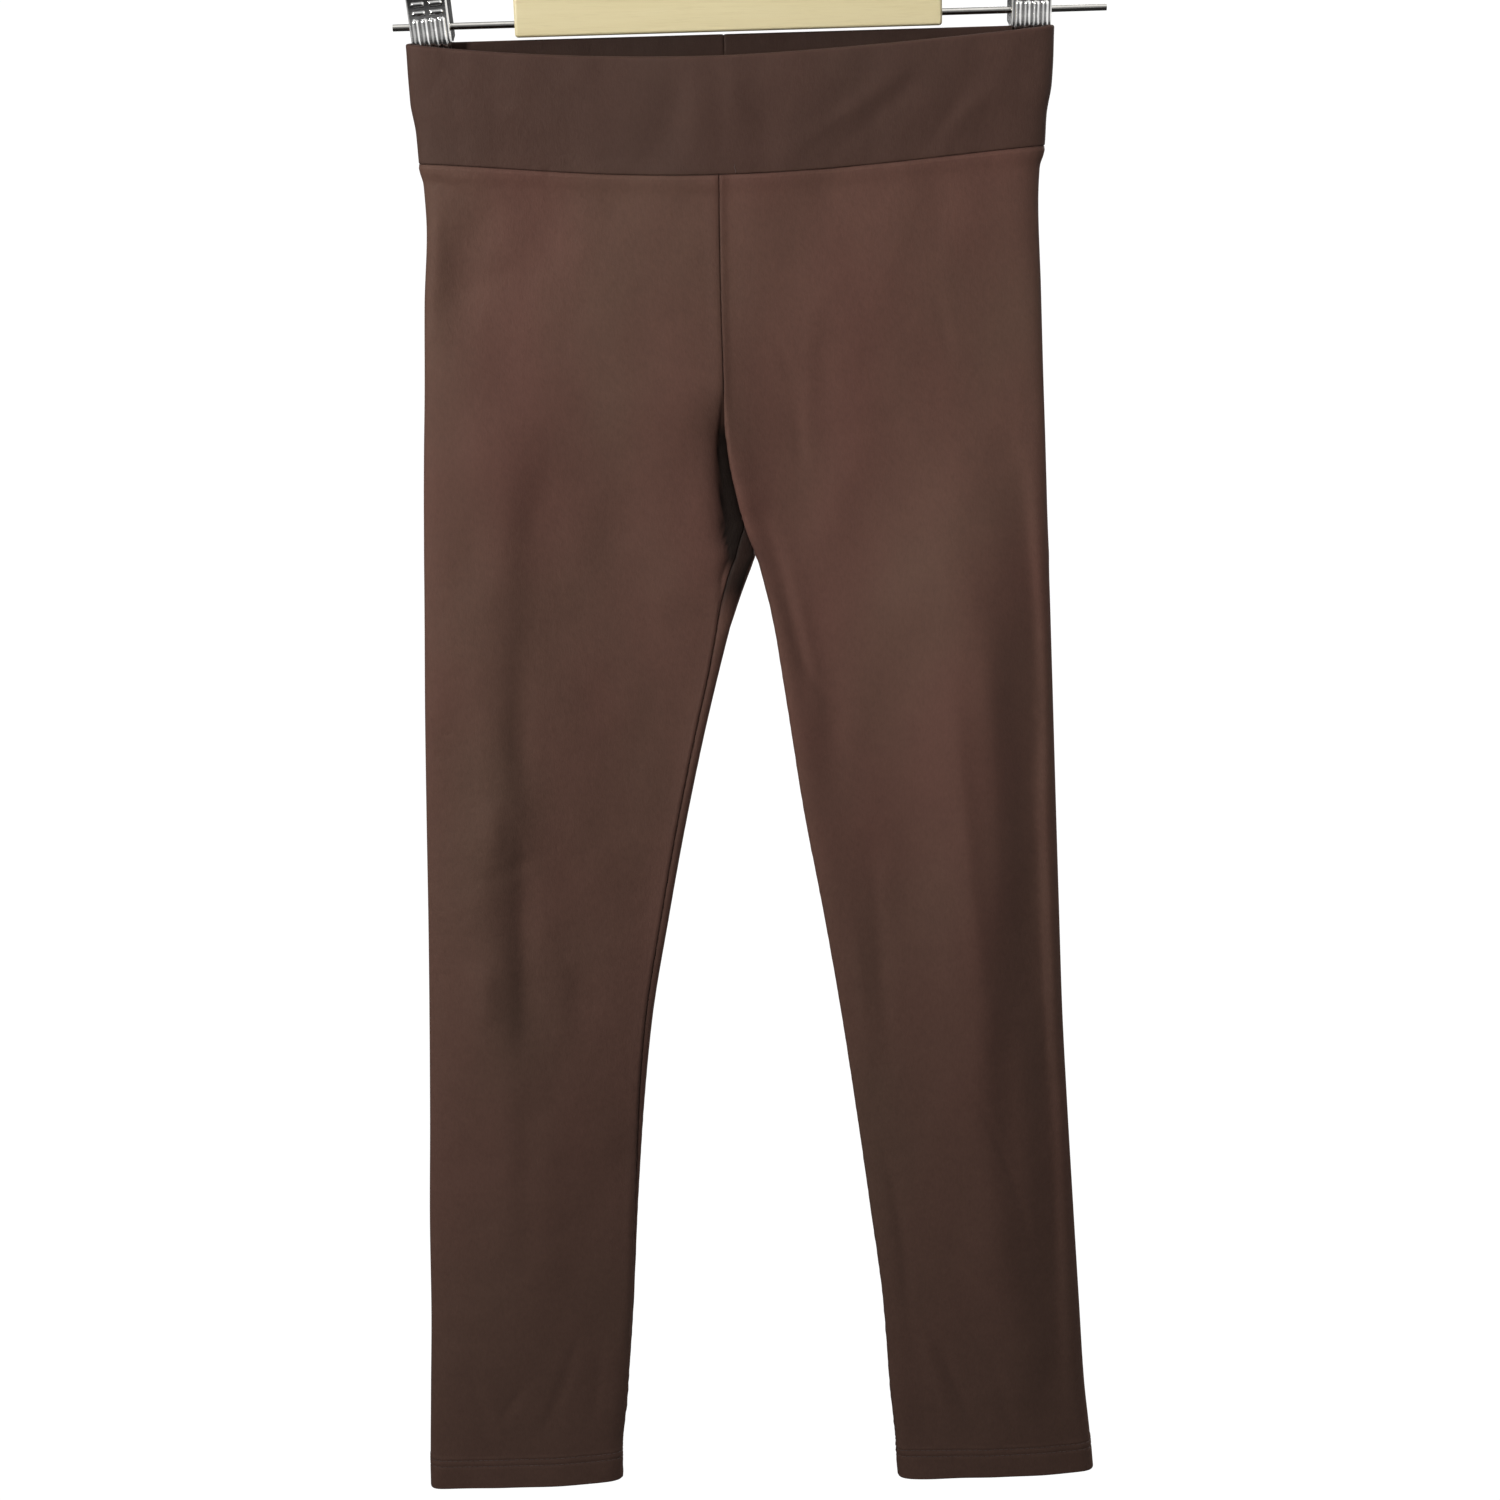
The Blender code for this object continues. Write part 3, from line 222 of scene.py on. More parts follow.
# Creases: line through three points, how far each side runs
# out (to the viewer's left and right on the front), and depth (ridges are
# negative).
CREASE_COLUMNS = ("piece", "face", "x1", "d1", "x2", "d2", "x3", "d3", "left", "right", "depth")
CREASES = (
    # right leg, front: the long trough, its kink, and the swells beside it
    ("right", "front", -91.0, 339.0, -110.0, 397.0, -117.0, 458.0, 13.0, 13.0, 0.8),
    ("right", "front", -117.0, 450.0, -122.0, 518.0, -118.0, 562.0, 11.0, 11.0, 1.2),
    ("right", "front", -123.0, 565.0, -127.0, 629.0, -130.0, 706.0, 8.0, 15.0, 1.5),
    ("right", "front", -146.0, 593.0, -131.0, 588.0, -114.0, 580.0, 7.0, 7.0, 0.7),
    ("right", "front", -140.0, 545.0, -139.0, 564.0, -139.0, 580.0, 12.0, 10.0, -1.2),
    ("right", "front", -148.0, 640.0, -149.0, 659.0, -148.0, 680.0, 13.0, 11.0, -1.3),
    ("right", "front", -129.0, 709.0, -132.0, 770.0, -137.0, 833.0, 11.0, 13.0, 0.8),
    ("right", "front", -107.0, 635.0, -107.0, 665.0, -109.0, 696.0, 9.0, 9.0, -0.5),
    ("right", "front", -112.0, 625.0, -104.0, 643.0, -95.0, 662.0, 2.0, 2.0, 0.25),
    ("right", "front", -47.0, 360.0, -44.0, 407.0, -47.0, 460.0, 26.0, 26.0, -0.9),
    # right leg, front: under the seam's end, at the hip, above the hem
    ("right", "front", -153.0, 221.0, -140.0, 227.0, -126.0, 234.0, 4.0, 4.0, 0.6),
    ("right", "front", -147.0, 226.0, -142.0, 250.0, -144.0, 288.0, 9.0, 17.0, 0.8),
    ("right", "front", -145.0, 283.0, -122.0, 272.0, -98.0, 262.0, 12.0, 12.0, 0.7),
    ("right", "front", -158.0, 930.0, -149.0, 916.0, -141.0, 903.0, 4.0, 4.0, 0.5),
    ("right", "front", -131.0, 935.0, -119.0, 905.0, -108.0, 874.0, 6.0, 6.0, 0.7),
    ("right", "front", -105.0, 932.0, -99.0, 907.0, -96.0, 878.0, 5.0, 5.0, 0.4),
    ("right", "front", -173.0, 893.0, -167.0, 915.0, -163.0, 931.0, 5.0, 5.0, 0.4),
    # left leg, front: the flank that falls away, the ridge before it
    ("left", "front", 143.0, 371.0, 151.0, 466.0, 154.0, 560.0, 22.0, 7.0, 3.2),
    ("left", "front", 152.0, 515.0, 156.0, 635.0, 162.0, 750.0, 20.0, 6.0, 3.6),
    ("left", "front", 161.0, 710.0, 165.0, 805.0, 169.0, 930.0, 16.0, 6.0, 2.2),
    ("left", "front", 106.0, 470.0, 114.0, 587.0, 126.0, 690.0, 24.0, 11.0, -2.4),
    ("left", "front", 70.0, 668.0, 125.0, 739.0, 159.0, 865.0, 2.4, 2.2, 0.5),
    # left leg, front: inner thigh, faint streaks, above the hem
    ("left", "front", 8.0, 396.0, 22.0, 442.0, 31.0, 508.0, 10.0, 5.0, 1.5),
    ("left", "front", 19.0, 438.0, 28.0, 468.0, 34.0, 500.0, 4.0, 4.0, 0.7),
    ("left", "front", 27.0, 473.0, 35.0, 488.0, 44.0, 502.0, 3.0, 3.0, 0.5),
    ("left", "front", 18.0, 299.0, 23.0, 314.0, 28.0, 331.0, 4.0, 4.0, 0.4),
    ("left", "front", 28.0, 340.0, 30.0, 357.0, 31.0, 376.0, 3.5, 3.5, 0.5),
    ("left", "front", 38.0, 282.0, 36.0, 327.0, 37.0, 370.0, 7.0, 7.0, -0.5),
    ("left", "front", 100.0, 285.0, 104.0, 301.0, 108.0, 320.0, 4.0, 4.0, 0.45),
    ("left", "front", 64.0, 575.0, 68.0, 644.0, 72.0, 715.0, 7.0, 7.0, 0.8),
    ("left", "front", 52.0, 605.0, 57.0, 661.0, 61.0, 726.0, 5.0, 5.0, -0.4),
    ("left", "front", 86.0, 866.0, 96.0, 904.0, 106.0, 941.0, 6.0, 6.0, -0.7),
    ("left", "front", 98.0, 881.0, 108.0, 912.0, 119.0, 941.0, 5.0, 5.0, 0.8),
    ("left", "front", 74.0, 768.0, 79.0, 827.0, 82.0, 879.0, 4.0, 4.0, 0.6),
    ("left", "front", 65.0, 750.0, 73.0, 786.0, 76.0, 824.0, 3.5, 3.5, 0.45),
    ("left", "front", 126.0, 886.0, 135.0, 918.0, 141.0, 947.0, 5.0, 5.0, 0.5),
    # waistband, front
    ("band", "front", -137.0, 162.0, -124.0, 177.0, -106.0, 189.0, 11.0, 13.0, 0.9),
    ("band", "front", -28.0, 170.0, -29.0, 193.0, -32.0, 222.0, 14.0, 13.0, 0.9),
    ("band", "front", -1.0, 175.0, 2.0, 185.0, 3.0, 199.0, 8.0, 8.0, -0.5),
    ("band", "front", 30.0, 213.0, 58.0, 194.0, 88.0, 175.0, 6.0, 6.0, -0.5),
    ("band", "front", 40.0, 224.0, 66.0, 201.0, 95.0, 178.0, 6.5, 6.5, 0.42),
    ("band", "front", 97.0, 214.0, 114.0, 198.0, 132.0, 184.0, 7.0, 7.0, -0.35),
    ("band", "front", 94.0, 217.0, 105.0, 202.0, 116.0, 186.0, 6.0, 6.0, 0.38),
    ("band", "front", 121.0, 170.0, 133.0, 178.0, 147.0, 185.0, 7.0, 7.0, 0.5),
    ("band", "front", -68.0, 215.0, -54.0, 214.0, -37.0, 216.0, 1.7, 1.7, 0.4),
    # hidden sides, alike in kind
    ("right", "back", -124.0, 545.0, -128.0, 625.0, -120.0, 700.0, 9.0, 11.0, 1.8),
    ("right", "back", -150.0, 610.0, -136.0, 600.0, -118.0, 596.0, 5.0, 5.0, 0.8),
    ("right", "back", -140.0, 560.0, -141.0, 575.0, -140.0, 592.0, 12.0, 12.0, -1.0),
    ("right", "back", -96.0, 262.0, -118.0, 276.0, -140.0, 292.0, 10.0, 10.0, 0.9),
    ("right", "back", -30.0, 440.0, -45.0, 500.0, -58.0, 556.0, 5.0, 7.0, 0.8),
    ("right", "back", -142.0, 925.0, -128.0, 895.0, -118.0, 868.0, 6.0, 6.0, 0.6),
    ("right", "back", -112.0, 715.0, -140.0, 790.0, -165.0, 880.0, 2.4, 2.4, 0.4),
    ("left", "back", 132.0, 400.0, 140.0, 520.0, 146.0, 640.0, 9.0, 18.0, 2.0),
    ("left", "back", 104.0, 520.0, 110.0, 600.0, 122.0, 690.0, 14.0, 18.0, -1.2),
    ("left", "back", 96.0, 640.0, 118.0, 720.0, 148.0, 830.0, 2.4, 2.4, 0.4),
    ("left", "back", 34.0, 450.0, 42.0, 490.0, 54.0, 540.0, 4.0, 5.0, 0.7),
    ("left", "back", 100.0, 936.0, 112.0, 905.0, 121.0, 872.0, 6.0, 6.0, 0.7),
    ("left", "back", 145.0, 262.0, 124.0, 270.0, 104.0, 284.0, 9.0, 9.0, 0.8),
    ("band", "back", -120.0, 170.0, -96.0, 186.0, -70.0, 206.0, 7.0, 7.0, 0.6),
    ("band", "back", 96.0, 172.0, 78.0, 190.0, 60.0, 208.0, 7.0, 7.0, 0.6),
    ("band", "back", 20.0, 176.0, 14.0, 192.0, 12.0, 208.0, 12.0, 12.0, 0.5),
    ("band", "back", -40.0, 180.0, -26.0, 192.0, -16.0, 207.0, 7.0, 7.0, -0.4),
)

# -------------------------------------------------------------- seams, stitches
GROOVE = 0.52  # how deep two cloth edges roll in at a seam
SEAM_ROLL = 0.85  # width over which an edge rolls in
VISIBLE_GAP = 0.12  # left between sewn pieces
ALLOWANCE = 6.5  # seam allowance pressed down inside
ALLOWANCE_LIFT = 0.38  # how much it lifts the cloth over it
STITCH_ROWS = (19.2, 15.2)  # above the hem's edge
STITCH_PITCH = 3.0
STITCH_LENGTH = 2.3
THREAD = 0.40  # diameter
SLOPE_SHADING_STRENGTH = 0.6  # how strong the painted shading by slope is; 0 leaves it out

# --------------------------------------------------------------- hanger sizes
ROD_DROP = 150.0
ROD_DIAMETER = 3.3
ROD_LEFT, ROD_RIGHT = -164.5, 185.5
BODY_HALF = 104.5
BODY_BOTTOM = 156.2
BODY_END = 26.0
BODY_MIDDLE = 46.0
BODY_THICK = 13.0
BODY_EDGE = 1.5
HOOK_WIRE = 3.6
HOOK_RADIUS = 21.0
HOOK_SET = 11.0
CLIP_PLATE = 19.6
CLIP_WALL = 0.9
CLIP_SPLAY = 0.8
CLIP_FLANGE_BACK = 4.2
CLIP_INSET = 1.5
JAW_TAPER = 1.4
SPRING_OUTER, SPRING_LENGTH = 7.0, 8.0
RIBS = 4
RIB_PITCH = 4.35
RIB_WIDTH = 3.3
RIB_HEIGHT = 1.05
RIBS_TOP = 145.6
DASH_ROWS = (143.2, 139.0, 134.8, 130.6)
DASH_LENGTH, DASH_WIDTH, DASH_HEIGHT, DASH_SIDE = 6.4, 2.2, 0.85, 4.4
JAW_COLUMNS = ("drop", "stand_off")
JAW = (
    (122.0, 13.6),
    (132.0, 12.2),
    (141.0, 11.2),
    (150.0, 10.6),
    (156.4, 10.3),
    (161.5, 9.3),
    (167.0, 6.8),
    (172.0, 3.9),
    (176.5, 2.6),
)
FLANGE_TOP, FLANGE_BOTTOM = 126.0, 155.0
PINCH_MID = 1.1
CLIPS = (("clip_right", -145.6, 4.0), ("clip_left", 147.8, -1.0))


# -------------------------------------------------------------- table reading
def smooth_track(drops, values, at):
    """Values between the rows of a table, on a smooth curve with no overshoot."""
    x = np.asarray(drops, float)
    v = np.asarray(values, float)
    step = np.diff(x)
    rise = np.diff(v) / step
    slope = np.zeros_like(v)
    same = rise[:-1] * rise[1:] > 0
    w1 = 2 * step[1:] + step[:-1]
    w2 = step[1:] + 2 * step[:-1]
    a, b = rise[:-1][same], rise[1:][same]
    slope[1:-1][same] = (w1 + w2)[same] / (w1[same] / a + w2[same] / b)
    slope[0], slope[-1] = rise[0], rise[-1]
    at = np.clip(at, x[0], x[-1])
    i = np.clip(np.searchsorted(x, at, side="right") - 1, 0, len(step) - 1)
    h = step[i]
    t = (at - x[i]) / h
    return (
        v[i] * (1 + 2 * t) * (1 - t) ** 2
        + v[i + 1] * t * t * (3 - 2 * t)
        + h * t * (1 - t) * (slope[i] * (1 - t) - slope[i + 1] * t)
    )


def table_value(table, columns, name, at):
    pick = columns.index(name)
    return smooth_track([row[0] for row in table], [row[pick] for row in table], at)


def smooth_step(x, low, high):
    t = np.clip((x - low) / (high - low), 0.0, 1.0)
    return t * t * (3 - 2 * t)


def packed(total, count, spacing):
    """count + 1 places from 0 to total, as close together as spacing(t) asks."""
    t = np.linspace(0.0, total, 3001)
    dense = 1.0 / spacing(t)
    grown = np.concatenate([[0.0], np.cumsum((dense[1:] + dense[:-1]) / 2 * np.diff(t))])
    return np.interp(np.linspace(0.0, grown[-1], count + 1), grown, t)


def waves(seed, size, x, y, count=9):
    """A smooth uneven pattern of about +-1 whose features are size mm across."""
    rng = np.random.default_rng(seed)
    total = np.zeros(np.broadcast(x, y).shape)
    for _ in range(count):
        angle, phase = rng.uniform(0, 2 * np.pi, 2)
        k = 2 * np.pi / (size * rng.uniform(0.7, 1.6))
        total += np.cos(k * (x * np.cos(angle) + y * np.sin(angle)) + phase)
    return total / math.sqrt(count / 2)


# ------------------------------------------------------------- cloth surface
def crease_line(row, columns):
    f = dict(zip(columns, row))
    t = np.linspace(0.0, 1.0, 61)
    a, b, c = (1 - t) * (1 - 2 * t), 4 * t * (1 - t), t * (2 * t - 1)
    return f, t, a * f["x1"] + b * f["x2"] + c * f["x3"], a * f["d1"] + b * f["d2"] + c * f["d3"]


FOLD_LINES = [crease_line(row, FOLD_COLUMNS) for row in FOLDS]
CREASE_LINES = [crease_line(row, CREASE_COLUMNS) for row in CREASES]


def drawn_in(lines, piece, face, x, drop):
    """How far the folds or creases draw points of a wall in."""
    shape = x.shape
    x, drop = x.ravel(), drop.ravel()
    total = np.zeros(len(x))
    for f, t, fx, fd in lines:
        if f.get("leg", f.get("piece")) != piece or f["face"] != face:
            continue
        wide = max(f.get("half_width", 0), f.get("left", 0), f.get("right", 0)) * 2.2
        near = (
            (x > fx.min() - wide) & (x < fx.max() + wide) & (drop > fd.min() - wide) & (drop < fd.max() + wide)
        )
        at = np.flatnonzero(near)
        if not len(at):
            continue
        dx, dd = x[at, None] - fx, drop[at, None] - fd
        far = dx**2 + dd**2
        i = far.argmin(axis=1)
        k = np.arange(len(at))
        lx, ld = np.gradient(fx)[i], np.gradient(fd)[i]
        side = dx[k, i] * ld - dd[k, i] * lx > 0
        side = side if ld.mean() > 0 else ~side
        if "half_width" in f:
            reach = f["half_width"]
        else:
            reach = np.where(side, f["right"], f["left"])
        across = np.sqrt(far[k, i]) / reach
        along = np.sin(np.pi * np.clip(t[i], 0.02, 0.98)) ** 0.7
        total[at] += f["depth"] * along * np.exp(-2.2 * across**2)
    return total.reshape(shape)


def relief(leg, drops, s):
    """How far a front stands out, on a smooth curve through its six places."""
    places = np.array([int(name[3:]) / 100 for name in RELIEF_COLUMNS[1:]])
    terms = np.arange(1, len(places) + 1)
    given = np.array([table_value(RELIEF[leg], RELIEF_COLUMNS, name, drops) for name in RELIEF_COLUMNS[1:]])
    weight = np.linalg.solve(np.sin(np.pi * places[:, None] * terms), given)
    return np.einsum("kr,krs->rs", weight, np.sin(np.pi * terms[:, None, None] * s[None]))


def dense_loop(leg, drops, cleft):
    """Sections of one leg at many drops: arrays (rows, points) of x, y, sag,
    hold (how much folds may move a point) and s, front then back."""
    drops = np.asarray(drops, float)
    value = {
        name: table_value(SECTIONS, SECTION_COLUMNS, name, drops)[:, None] for name in SECTION_COLUMNS[1:]
    }
    right = leg == "right"
    inner = value["in_r"] if right else value["in_l"]
    outer = value["out_r"] if right else value["out_l"]
    rounded = value["edge_r"] if right else value["edge_l"]
    behind = np.where(drops[:, None] < FORK_DROP, value["back"], inner)
    shift = -VISIBLE_GAP / 2 if right else VISIBLE_GAP / 2
    tau = np.linspace(0.0, 1.0, 1201)[None, :]
    s = np.where(tau < 0.5, 4 * tau**3, 1 - 4 * (1 - tau) ** 3)
    faces = []
    for face in ("front", "back"):
        start = (inner if face == "front" else behind) + shift
        x = start + (outer - start) * s
        opened = value["open_f"] if face == "front" else value["open_b"]
        power = rounded
        at_inner = np.sqrt(1 - (1 - s) ** power)
        if right and face == "front" and cleft:
            opened = table_value(CLEFT, CLEFT_COLUMNS, "open", drops)[:, None]
            power = table_value(CLEFT, CLEFT_COLUMNS, "round", drops)[:, None]
            shelf = table_value(CLEFT, CLEFT_COLUMNS, "shelf", drops)[:, None] / np.abs(outer - start)
            risen = np.clip((s - shelf) / (1 - shelf), 0.0, 1.0)
            level = table_value(CLEFT, CLEFT_COLUMNS, "level", drops)[:, None]
            edge = level * np.sqrt(1 - (1 - s) ** power) * np.clip(shelf / 0.02, 0.0, 1.0)
            at_inner = edge + (1 - edge) * np.sqrt(1 - (1 - risen) ** power)
        at_fold = (1 - s ** value["edge_o"]) ** (1 / value["box"])
        bow = opened * (1 - s * s) + (1 - opened) * 4 * s * (1 - s)
        f = face[0]
        hold = at_fold * (opened + (1 - opened) * at_inner)
        even = np.broadcast_to(s, (len(drops), s.shape[1]))
        if face == "front":
            bow = bow * table_value(FLAT, FLAT_COLUMNS, "left_of_bow", drops)[:, None]
            swell = relief(leg, drops, even)
        else:
            swell = RELIEF_BEHIND * relief("left" if right else "right", drops, even)
        depth = hold * (value["side_" + f] + value["bow_" + f] * bow + swell)
        sign = -1 if face == "front" else 1
        y = value["mid"] + sign * depth
        low = np.clip((drops[:, None] - WAIST_DROP) / (SEAM_DROP - WAIST_DROP), 0.0, 1.0)
        droop = (1 - low) * (1 - s ** SAG_POWER[leg]) + low * (1 - s * s) ** 1.5
        sag = value["sag"] * droop * at_fold if face == "front" else np.zeros_like(x)
        low_in, low_out = HEM_TILT[leg]
        sag = sag + (low_in + (low_out - low_in) * s) * smooth_step(drops[:, None], 880.0, 952.0)
        faces.append((x, y, sag, hold, np.broadcast_to(s, x.shape)))
    return [np.hstack([a, b[:, ::-1][:, 1:]]) for a, b in zip(*faces)], s.shape[1]


def leg_grid(leg, drops, count, spacing, cleft=True):
    """Outer face of one leg: rows at the drops, columns from the front seam
    edge round the outer fold to the back seam edge.  Gives x, y, z, hold, the
    distances from both seam edges, and 1 on the front or -1 on the back."""
    (lx, ly, lsag, lhold, ls), n_front = dense_loop(leg, drops, cleft)
    turn = table_value(INSEAM, INSEAM_COLUMNS, leg, np.asarray(drops, float))
    out = {name: [] for name in ("x", "y", "z", "hold", "from_front", "from_back", "face", "turn")}
    for r, drop in enumerate(drops):
        loop = np.stack([lx[r], ly[r], lsag[r], lhold[r]])
        face = np.ones(loop.shape[1])
        face[n_front:] = -1
        length = np.concatenate([[0.0], np.cumsum(np.hypot(np.diff(loop[0]), np.diff(loop[1])))])
        fold, end = length[n_front - 1], length[-1]
        shut = drop >= JUNCTION_DROP
        begin = turn[r] if shut else 0.0
        if shut and leg == "right":  # from a distance across the front to one along it
            begin = float(np.interp(turn[r], (loop[0][0] - loop[0])[:n_front], length[:n_front]))
        if shut:
            loop = np.hstack([loop[:, :-1], loop, loop[:, 1:]])
            face = np.concatenate([face[:-1], face, face[1:]])
            length = np.concatenate([length[:-1] - end, length, length[1:] + end])
        first, last = begin + VISIBLE_GAP / 2, end + begin - VISIBLE_GAP / 2
        if not shut:
            first, last = begin, end
        front = packed(fold - first, count, spacing)
        back = packed(last - fold, count, spacing)
        along = np.concatenate([first + front, last - back[::-1][1:]])
        x, y, sag, hold = (np.interp(along, length, v) for v in loop)
        out["x"].append(x)
        out["y"].append(y)
        out["z"].append(-drop - sag)
        out["hold"].append(hold)
        out["from_front"].append(along - first)
        out["from_back"].append(last - along)
        out["face"].append(np.interp(along, length, face))
        out["turn"].append(np.full(len(along), begin))
    return {name: np.array(rows) for name, rows in out.items()}


def grid_normals(p, flip):
    """Outward directions of a grid of points, rows by columns."""
    down = np.gradient(p, axis=0)
    across = np.gradient(p, axis=1)
    n = np.cross(across, down) * (-1 if flip else 1)
    return n / np.maximum(np.linalg.norm(n, axis=2, keepdims=True), 1e-9)


def fold_grid(piece, g):
    """Draws folds and creases into a grid, and lets it waver a little."""
    front = np.clip(g["face"], 0, 1)
    back = np.clip(-g["face"], 0, 1)
    drop = -g["z"]
    inward_f = drawn_in(FOLD_LINES, piece, "front", g["x"], drop) + drawn_in(
        CREASE_LINES, piece, "front", g["x"], drop
    )
    inward_b = drawn_in(FOLD_LINES, piece, "back", g["x"], drop) + drawn_in(
        CREASE_LINES, piece, "back", g["x"], drop
    )
    hold = g["hold"]
    seed = {"right": 11, "left": 23, "band": 37}[piece]
    waver = 0.28 * waves(seed, 62.0, g["x"], drop * 0.55) + 0.10 * waves(seed + 1, 24.0, g["x"], drop * 0.6)
    waver_b = 0.28 * waves(seed + 5, 62.0, g["x"], drop * 0.55) + 0.10 * waves(seed + 6, 24.0, g["x"], drop * 0.6)
    g["y"] = g["y"] + (inward_f + waver) * hold * front - (inward_b + waver_b) * hold * back
    return g


# ------------------------------------------------------------- mesh building
def link(obj):
    bpy.context.scene.collection.objects.link(obj)
    return obj


def mesh_object(name, points_mm, faces, smooth=True, sharp=None):
    mesh = bpy.data.meshes.new(name)
    mesh.from_pydata((np.asarray(points_mm) * MM).tolist(), [], faces)
    mesh.validate()
    if smooth:
        mesh.shade_smooth()
    if sharp is not None:
        mesh.set_sharp_from_angle(angle=math.radians(sharp))
    return link(bpy.data.objects.new(name, mesh))


def face_out(obj):
    bm = bmesh.new()
    bm.from_mesh(obj.data)
    bmesh.ops.recalc_face_normals(bm, faces=bm.faces)
    if bm.calc_volume(signed=True) < 0:
        bmesh.ops.reverse_faces(bm, faces=bm.faces)
    bm.to_mesh(obj.data)
    bm.free()


def wrapped_shell(name, outer, cap, inner, inner_rows, extra, inside_shade):
    """A closed thin shell: grid of outer points, rows of a rounded edge, and
    inner points (the far row first).  inner_rows says which outer row each
    inner row backs.  extra holds per-point values for the outer grid, and the
    inner face and inner half of the rounded edge get painted shade of inside_shade."""
    rows, cols = outer.shape[:2]
    grid = np.concatenate([outer, cap, inner], axis=0)
    total = len(grid)

    def at(r, c):
        return r * cols + c

    faces = []
    for r in range(total - 1):
        for c in range(cols - 1):
            faces.append((at(r, c), at(r, c + 1), at(r + 1, c + 1), at(r + 1, c)))
    for c in range(cols - 1):  # the far edge, where the inner face meets the outer one
        faces.append((at(total - 1, c), at(total - 1, c + 1), at(0, c + 1), at(0, c)))
    first_inner = rows + len(cap)
    for c, turn in ((0, 1), (cols - 1, -1)):  # the two seam edges
        strip = [[at(rows - 1 + k, c) for k in range(len(cap) + 2)]]
        for k in range(len(inner_rows) - 1):
            a, b = inner_rows[k], inner_rows[k + 1]
            strip.append([at(i, c) for i in range(b, a + 1)] + [at(first_inner + k, c), at(first_inner + k + 1, c)])
        faces += [tuple(f[::turn]) for f in strip]
    obj = mesh_object(name, grid.reshape(-1, 3), faces)
    face_out(obj)
    for label, values in extra.items():
        full = np.zeros((total, cols))
        full[:rows] = values
        full[rows:first_inner] = values[-1]
        full[first_inner:] = values[inner_rows]
        # painted shade on the inner face and on the inner half of the rounded edge
        if label == "shade":
            turned = np.linspace(0.0, 1.0, len(cap))[:, None]
            full[rows:first_inner] = np.maximum(full[rows:first_inner], inside_shade * smooth_step(turned, 0.45, 1.0))
            full[first_inner:] = np.maximum(full[first_inner:], inside_shade)
        layer = obj.data.attributes.new(label, "FLOAT", "POINT")
        layer.data.foreach_set("value", full.ravel().astype(np.float32))
    return obj


def tubes(name, paths, radius, sides=6):
    """Round threads along many short paths, joined in one mesh."""
    points, faces = [], []
    ring = np.linspace(0, 2 * np.pi, sides, endpoint=False)
    for path in paths:
        path = np.asarray(path, float)
        tangent = np.gradient(path, axis=0)
        tangent /= np.linalg.norm(tangent, axis=1)[:, None]
        helper = np.array([0.0, 1.0, 0.0]) if abs(tangent[0, 1]) < 0.9 else np.array([1.0, 0.0, 0.0])
        u = np.cross(tangent[0], helper)
        base = len(points)
        for k, (p, t) in enumerate(zip(path, tangent)):
            u = u - t * (u @ t)
            u /= np.linalg.norm(u)
            v = np.cross(t, u)
            for a in ring:
                points.append(p + radius * (math.cos(a) * u + math.sin(a) * v))
        n = len(path)
        for k in range(n - 1):
            for a in range(sides):
                b = (a + 1) % sides
                i, j = base + k * sides, base + (k + 1) * sides
                faces.append((i + a, i + b, j + b, j + a))
        faces.append(tuple(base + a for a in reversed(range(sides))))
        faces.append(tuple(base + (n - 1) * sides + a for a in range(sides)))
    obj = mesh_object(name, points, faces)
    face_out(obj)
    return obj


# ------------------------------------------------------------------ the cloth
def seam_spacing(t):
    return np.minimum(2.3, 0.16 + 0.24 * t)


def leg_drops(leg):
    """Rows of a leg: close together at the waist seam, at the crotch, at the
    stitching and where the hem turns."""
    hem = HEM_DROP[leg]
    stitch = [hem - v for v in STITCH_ROWS] + [hem - HEM_DEPTH]

    def spacing(t):
        d = SEAM_DROP + t
        h = np.minimum(2.9, 0.15 + 0.2 * t)
        h = np.minimum(h, 0.9 + 0.09 * np.abs(d - 412.0))
        for row in stitch:
            h = np.minimum(h, 0.32 + 0.12 * np.abs(d - row))
        return np.minimum(h, 0.5 + 0.1 * np.abs(hem - HEM_WALL / 2 - d))

    top = SEAM_DROP + VISIBLE_GAP / 2
    drops = top + packed(hem - HEM_WALL / 2 - top, 372, spacing)
    for row in stitch:  # a row exactly on each line
        drops[np.abs(drops - row).argmin()] = row
    return drops


def groove(t, depth, width):
    """How far an edge rolls in at a distance from it."""
    k = np.clip(1 - t / width, 0.0, 1.0)
    return depth * (1 - np.sqrt(np.clip(1 - k**2, 0.0, 1.0)))


def painted_slope_shading(n):
    """A tone painted in the colour to match the photo's shading, not a measured
    property of the knit: slopes that turn to the left are lighter, and those
    that turn to the right darker.  Gives how much darker a point is."""
    toward = 0.66 * -n[:, :, 0] + 0.74 * np.abs(n[:, :, 1]) + 0.12 * n[:, :, 2]
    share = np.clip(toward, 0.05, None) / 0.74
    return (1 - np.clip(share**SLOPE_SHADING_STRENGTH, 0.80, 1.08)) * smooth_step(np.abs(n[:, :, 1]), 0.45, 0.85)


